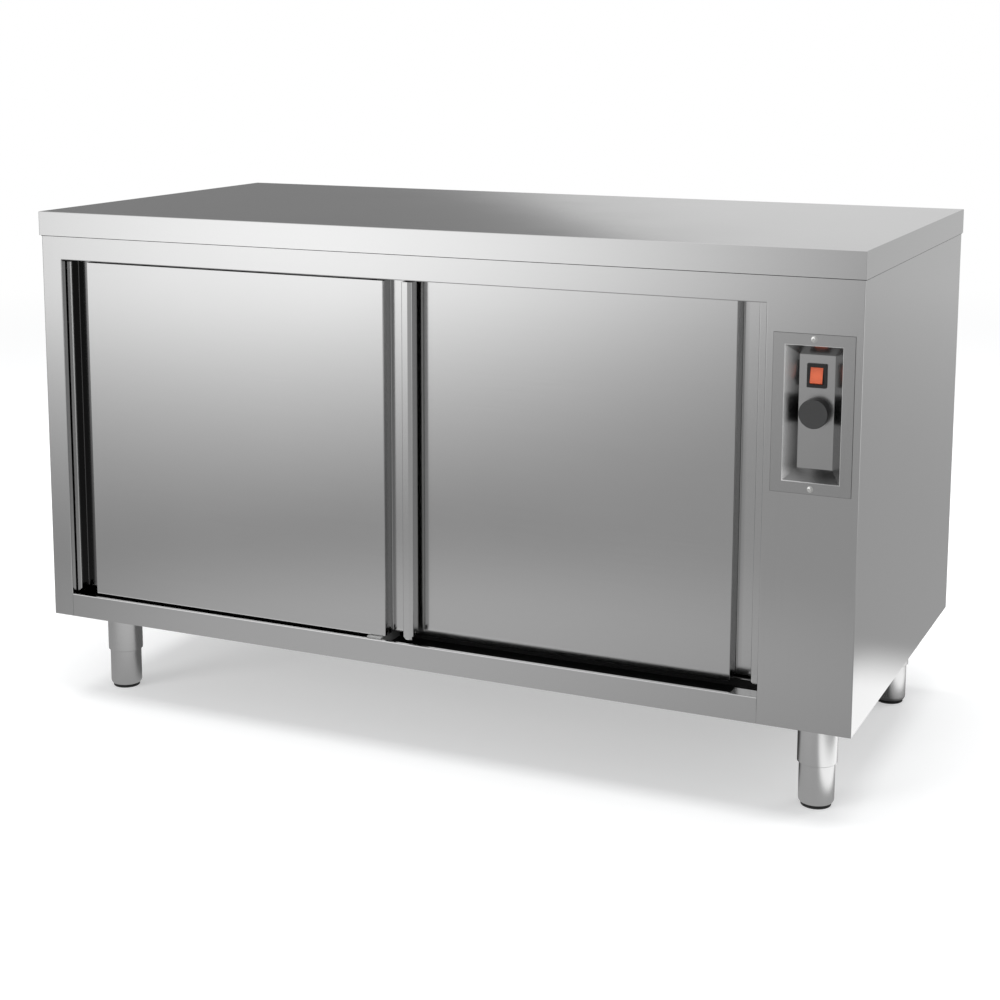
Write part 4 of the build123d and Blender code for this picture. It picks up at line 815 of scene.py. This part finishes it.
# ---- controls ----
# A pressed stainless plate, screwed to the column by two domed slotted screws, with its recess
# for a lit rocker switch and the thermostat's knob. Light and shade are painted into its colour: a painted
# highlight round the recess's rim and on its left wall, painted shade on the other walls, darkest down in the
# left corner.
MOUTH = (0.083, 0.1957)
RECESS_RUN = 0.0158
HIGHLIGHT_RIM_WIDTH = 0.0008
PLATE_FACE = 0.0002
FLAT_SHARE, UPPER_WALL_SHADE, LOWER_WALL_SHADE = 0.5, 0.4, 0.3
plate_steel = satin_steel("satin_stainless_plate", "Z", tone="F5F5F5", rough=0.24, streak=0.01)
low_corner, high_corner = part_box("control_plate")
tree = plate_steel.node_tree
place = add(tree, "ShaderNodeTexCoord")
centre = [-(low_corner[0] + high_corner[0]) / 2, -low_corner[1], -(low_corner[2] + high_corner[2]) / 2]
middle = add(tree, "ShaderNodeMapping", {}, {"Vector": place.outputs["Object"], "Location": centre})
x, y, z = add(tree, "ShaderNodeSeparateXYZ", {}, {0: middle.outputs[0]}).outputs
past_mouth = []
for value, mouth in ((x, MOUTH[0]), (z, MOUTH[1])):
    away = add(tree, "ShaderNodeMath", {"operation": "ABSOLUTE"}, {0: value})
    past_mouth.append(
        add(tree, "ShaderNodeMath", {"operation": "SUBTRACT"}, {0: away.outputs[0], 1: mouth / 2}).outputs[0]
    )
floor_side = RECESS_RUN / MOUTH[0]
# painted light and shade on the recess's side walls: a painted highlight on the left wall at the mouth,
# painted shade darkest in the left floor corner and on the right wall
painted_wall_light_and_shade = (
    (0.0, 0.9),
    (floor_side, 0.3),
    (floor_side + 0.004, FLAT_SHARE),
    (1 - floor_side - 0.004, FLAT_SHARE),
    (1 - floor_side, 0.4),
)
across = ramped(tree, x, -MOUTH[0] / 2, MOUTH[0] / 2, painted_wall_light_and_shade)
# painted shade on the lower and upper end walls of the recess
ends = ramped(tree, z, -MOUTH[1] / 2, MOUTH[1] / 2, ((0.4, LOWER_WALL_SHADE), (0.6, UPPER_WALL_SHADE)))
side_wall = add(tree, "ShaderNodeMath", {"operation": "MAXIMUM"}, {0: past_mouth[0], 1: -RECESS_RUN})
end_wall = add(
    tree, "ShaderNodeMath", {"operation": "GREATER_THAN"}, {0: past_mouth[1], 1: side_wall.outputs[0]}
)
recess = add(tree, "ShaderNodeMix", {"data_type": "RGBA"}, {0: end_wall.outputs[0], 6: across, 7: ends})
deep = add(tree, "ShaderNodeMath", {"operation": "GREATER_THAN"}, {0: y, 1: PLATE_FACE})
share = add(
    tree,
    "ShaderNodeMix",
    {"data_type": "RGBA"},
    {0: deep.outputs[0], 6: [FLAT_SHARE] * 3 + [1], 7: recess.outputs[2]},
)
beyond = add(tree, "ShaderNodeMath", {"operation": "MAXIMUM"}, {0: past_mouth[0], 1: past_mouth[1]})
from_rim = add(tree, "ShaderNodeMath", {"operation": "ABSOLUTE"}, {0: beyond.outputs[0]})
# a painted highlight: a thin bright line round the mouth's rim
painted_rim_highlight = add(
    tree, "ShaderNodeMapRange", {}, {0: from_rim.outputs[0], 1: HIGHLIGHT_RIM_WIDTH / 2, 2: HIGHLIGHT_RIM_WIDTH, 3: 0.8, 4: 0.0}
)
share = add(
    tree, "ShaderNodeMix", {"data_type": "RGBA"}, {0: painted_rim_highlight.outputs[0], 6: share.outputs[2], 7: (1, 1, 1, 1)}
)
painted_light_and_shade(plate_steel, share.outputs[2])
dress(plate_steel, "control_plate")
dress(clouded("nickel_plated_screw", "D4D4D2", "E6E6E4", 1.0, 0.14, 3, 0.3), "control_screws")

# The faces of the knob and of the switch's bezel are spark-textured grey-black; their sides are
# polished, and their near-black colour is painted shade.
for name, made_of, low, high, spark_mm in (
    ("knob", "black_phenolic_knob", "3E3E3E", "464646", 0.38),
    ("switch_housing", "black_abs_bezel", "2E2E2E", "363636", 0.35),
):
    low_corner, high_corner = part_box(name)
    moulded, tree = blank(made_of)
    place = add(tree, "ShaderNodeTexCoord")
    depth = add(tree, "ShaderNodeSeparateXYZ", {}, {0: place.outputs["Object"]}).outputs[1]
    # painted shade: the sides, set back from the face, are coloured near black
    shaded_flank = add(
        tree, "ShaderNodeMath", {"operation": "GREATER_THAN"}, {0: depth, 1: low_corner[1] + 0.0004}
    ).outputs[0]
    spark = add(
        tree,
        "ShaderNodeTexNoise",
        {},
        {"Vector": place.outputs["Object"], "Scale": 1000 / spark_mm, "Detail": 2.0},
    )
    face = add(
        tree, "ShaderNodeMix", {"data_type": "RGBA"}, {0: spark.outputs[0], 6: linear(low), 7: linear(high)}
    )
    colour = add(
        tree, "ShaderNodeMix", {"data_type": "RGBA"}, {0: shaded_flank, 6: face.outputs[2], 7: linear("020202")}
    )
    gloss = add(tree, "ShaderNodeMapRange", {}, {0: shaded_flank, 3: 0.5, 4: 0.3})
    bump = add(tree, "ShaderNodeBump", {}, {"Height": spark.outputs[0], "Strength": 0.15, "Distance": 0.0001})
    skin = {
        "Base Color": colour.outputs[2],
        "Roughness": gloss.outputs[0],
        "Specular IOR Level": 0.1,
        "Normal": bump.outputs[0],
    }
    add(
        tree,
        "ShaderNodeOutputMaterial",
        {},
        {"Surface": add(tree, "ShaderNodeBsdfPrincipled", {}, skin).outputs[0]},
    )
    dress(moulded, name)
dress(clouded("bakelite_thermostat", "1B1816", "262220", 0.0, 0.35, 16, 0.5), "thermostat")

# the plate is bedded on the column in a thin black bead; its hairline round the plate's edge is painted
# shade, standing in for the shadow line there
BEAD_PROUD = 0.0004
BEAD_DEPTH = 0.0008
low_corner, high_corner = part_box("control_plate")
half_wide, half_high = ((high_corner[i] - low_corner[i]) / 2 + BEAD_PROUD for i in (0, 2))
column_face = low_corner[1] + 0.001
bpy.ops.object.select_all(action="DESELECT")
bpy.ops.mesh.primitive_plane_add(
    size=2,
    location=((low_corner[0] + high_corner[0]) / 2, column_face, (low_corner[2] + high_corner[2]) / 2),
    rotation=(math.radians(90), 0, 0),
)
bead = bpy.context.object
bead.scale = (half_wide, half_high, 1)
bpy.ops.object.transform_apply(location=True, rotation=True, scale=True)
bpy.ops.object.mode_set(mode="EDIT")
bpy.ops.mesh.select_all(action="SELECT")
bpy.ops.mesh.inset(thickness=BEAD_PROUD, depth=0)
bpy.ops.mesh.delete(type="FACE")
bpy.ops.mesh.select_all(action="SELECT")
bpy.ops.mesh.extrude_region_move(TRANSFORM_OT_translate={"value": (0, -BEAD_DEPTH, 0)})
bpy.ops.mesh.select_all(action="DESELECT")
bpy.ops.object.mode_set(mode="OBJECT")
for edge in bead.data.edges:
    ends = [bead.data.vertices[v].co for v in edge.vertices]
    edge.select = all(abs(p.y - column_face + BEAD_DEPTH) < CLOSE for p in ends) and (
        all(
            p.x < low_corner[0] - 1e-4 or p.x > high_corner[0] + 1e-4 for p in ends
        ) and abs(ends[0].x - ends[1].x) < CLOSE
        or all(
            p.z < low_corner[2] - 1e-4 or p.z > high_corner[2] + 1e-4 for p in ends
        ) and abs(ends[0].z - ends[1].z) < CLOSE
    )
bpy.ops.object.mode_set(mode="EDIT")
bpy.ops.mesh.select_mode(type="EDGE")
bpy.ops.mesh.bevel(offset=0.0002, segments=2)
bpy.ops.mesh.select_mode(type="VERT")
bpy.ops.object.mode_set(mode="OBJECT")
made_here(bead, "control_plate_shadow_line_bead", shadow_line_silicone, "cabinet")

# clear-orange polycarbonate over a neon lamp, with a painted glow a touch lighter towards its middle,
# and its sides painted near black as shade
ROCKER_WIDTH = 0.0182
DARK_SIDE_WIDTH = 0.0002
lens, tree = blank("orange_polycarbonate")
place = add(tree, "ShaderNodeTexCoord")
low_corner, high_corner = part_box("rocker")
centre = [-(low_corner[i] + high_corner[i]) / 2 for i in range(3)]
middle = add(tree, "ShaderNodeMapping", {}, {"Vector": place.outputs["Object"], "Location": centre})
off = add(tree, "ShaderNodeVectorMath", {"operation": "LENGTH"}, {0: middle.outputs[0]}).outputs["Value"]
# a painted glow, lighter towards the middle
painted_glow = add(tree, "ShaderNodeMapRange", {"interpolation_type": "SMOOTHSTEP"}, {0: off, 1: 0.004, 2: 0.017})
mould = add(
    tree, "ShaderNodeTexNoise", {}, {"Vector": place.outputs["Object"], "Scale": 2500.0, "Detail": 1.0}
)
tint = add(
    tree,
    "ShaderNodeMix",
    {"data_type": "RGBA"},
    {0: painted_glow.outputs[0], 6: linear("E26A42"), 7: linear("C9552F")},
)
sideways = add(tree, "ShaderNodeSeparateXYZ", {}, {0: middle.outputs[0]}).outputs[0]
away = add(tree, "ShaderNodeMath", {"operation": "ABSOLUTE"}, {0: sideways})
# painted shade: the sides are coloured near black
painted_dark_side = add(
    tree,
    "ShaderNodeMath",
    {"operation": "GREATER_THAN"},
    {0: away.outputs[0], 1: ROCKER_WIDTH / 2 - DARK_SIDE_WIDTH},
)
tint = add(
    tree,
    "ShaderNodeMix",
    {"data_type": "RGBA"},
    {0: painted_dark_side.outputs[0], 6: tint.outputs[2], 7: linear("0A0605")},
)
bump = add(tree, "ShaderNodeBump", {}, {"Height": mould.outputs[0], "Strength": 0.08, "Distance": 0.0001})
skin = {"Base Color": tint.outputs[2], "Roughness": 0.3, "IOR": 1.58, "Normal": bump.outputs[0]}
add(
    tree,
    "ShaderNodeOutputMaterial",
    {},
    {"Surface": add(tree, "ShaderNodeBsdfPrincipled", {}, skin).outputs[0]},
)
dress(lens, "rocker")

# the bulb and capillary are copper, dulled by heat in 20 mm patches
dress(clouded("tarnished_copper", "8E5A3C", "C58A62", 1.0, 0.3, 20, 0.8), "thermostat_probe")


# ---- legs ----
# Upper sleeves of satin stainless tube are bolted under the pan, and the lower feet screw in
# and out to level it. Both were belted while they turned, so their grain runs round.
FEET = (1, 2, 3, 4)
turned = satin_steel("turned_stainless_tube", "XY", tone="D8D8D8", rough=0.24, streak=0.008)
dress(turned, *[f"leg_{number}" for number in FEET], *[f"foot_{number}" for number in FEET])
dress(
    clouded("black_polyethylene_cap", "121212", "1C1C1C", 0.0, 0.55, 15, 0.6),
    *[f"foot_cap_{number}" for number in FEET],
)
dress(bright_zinc, "leg_bolts")
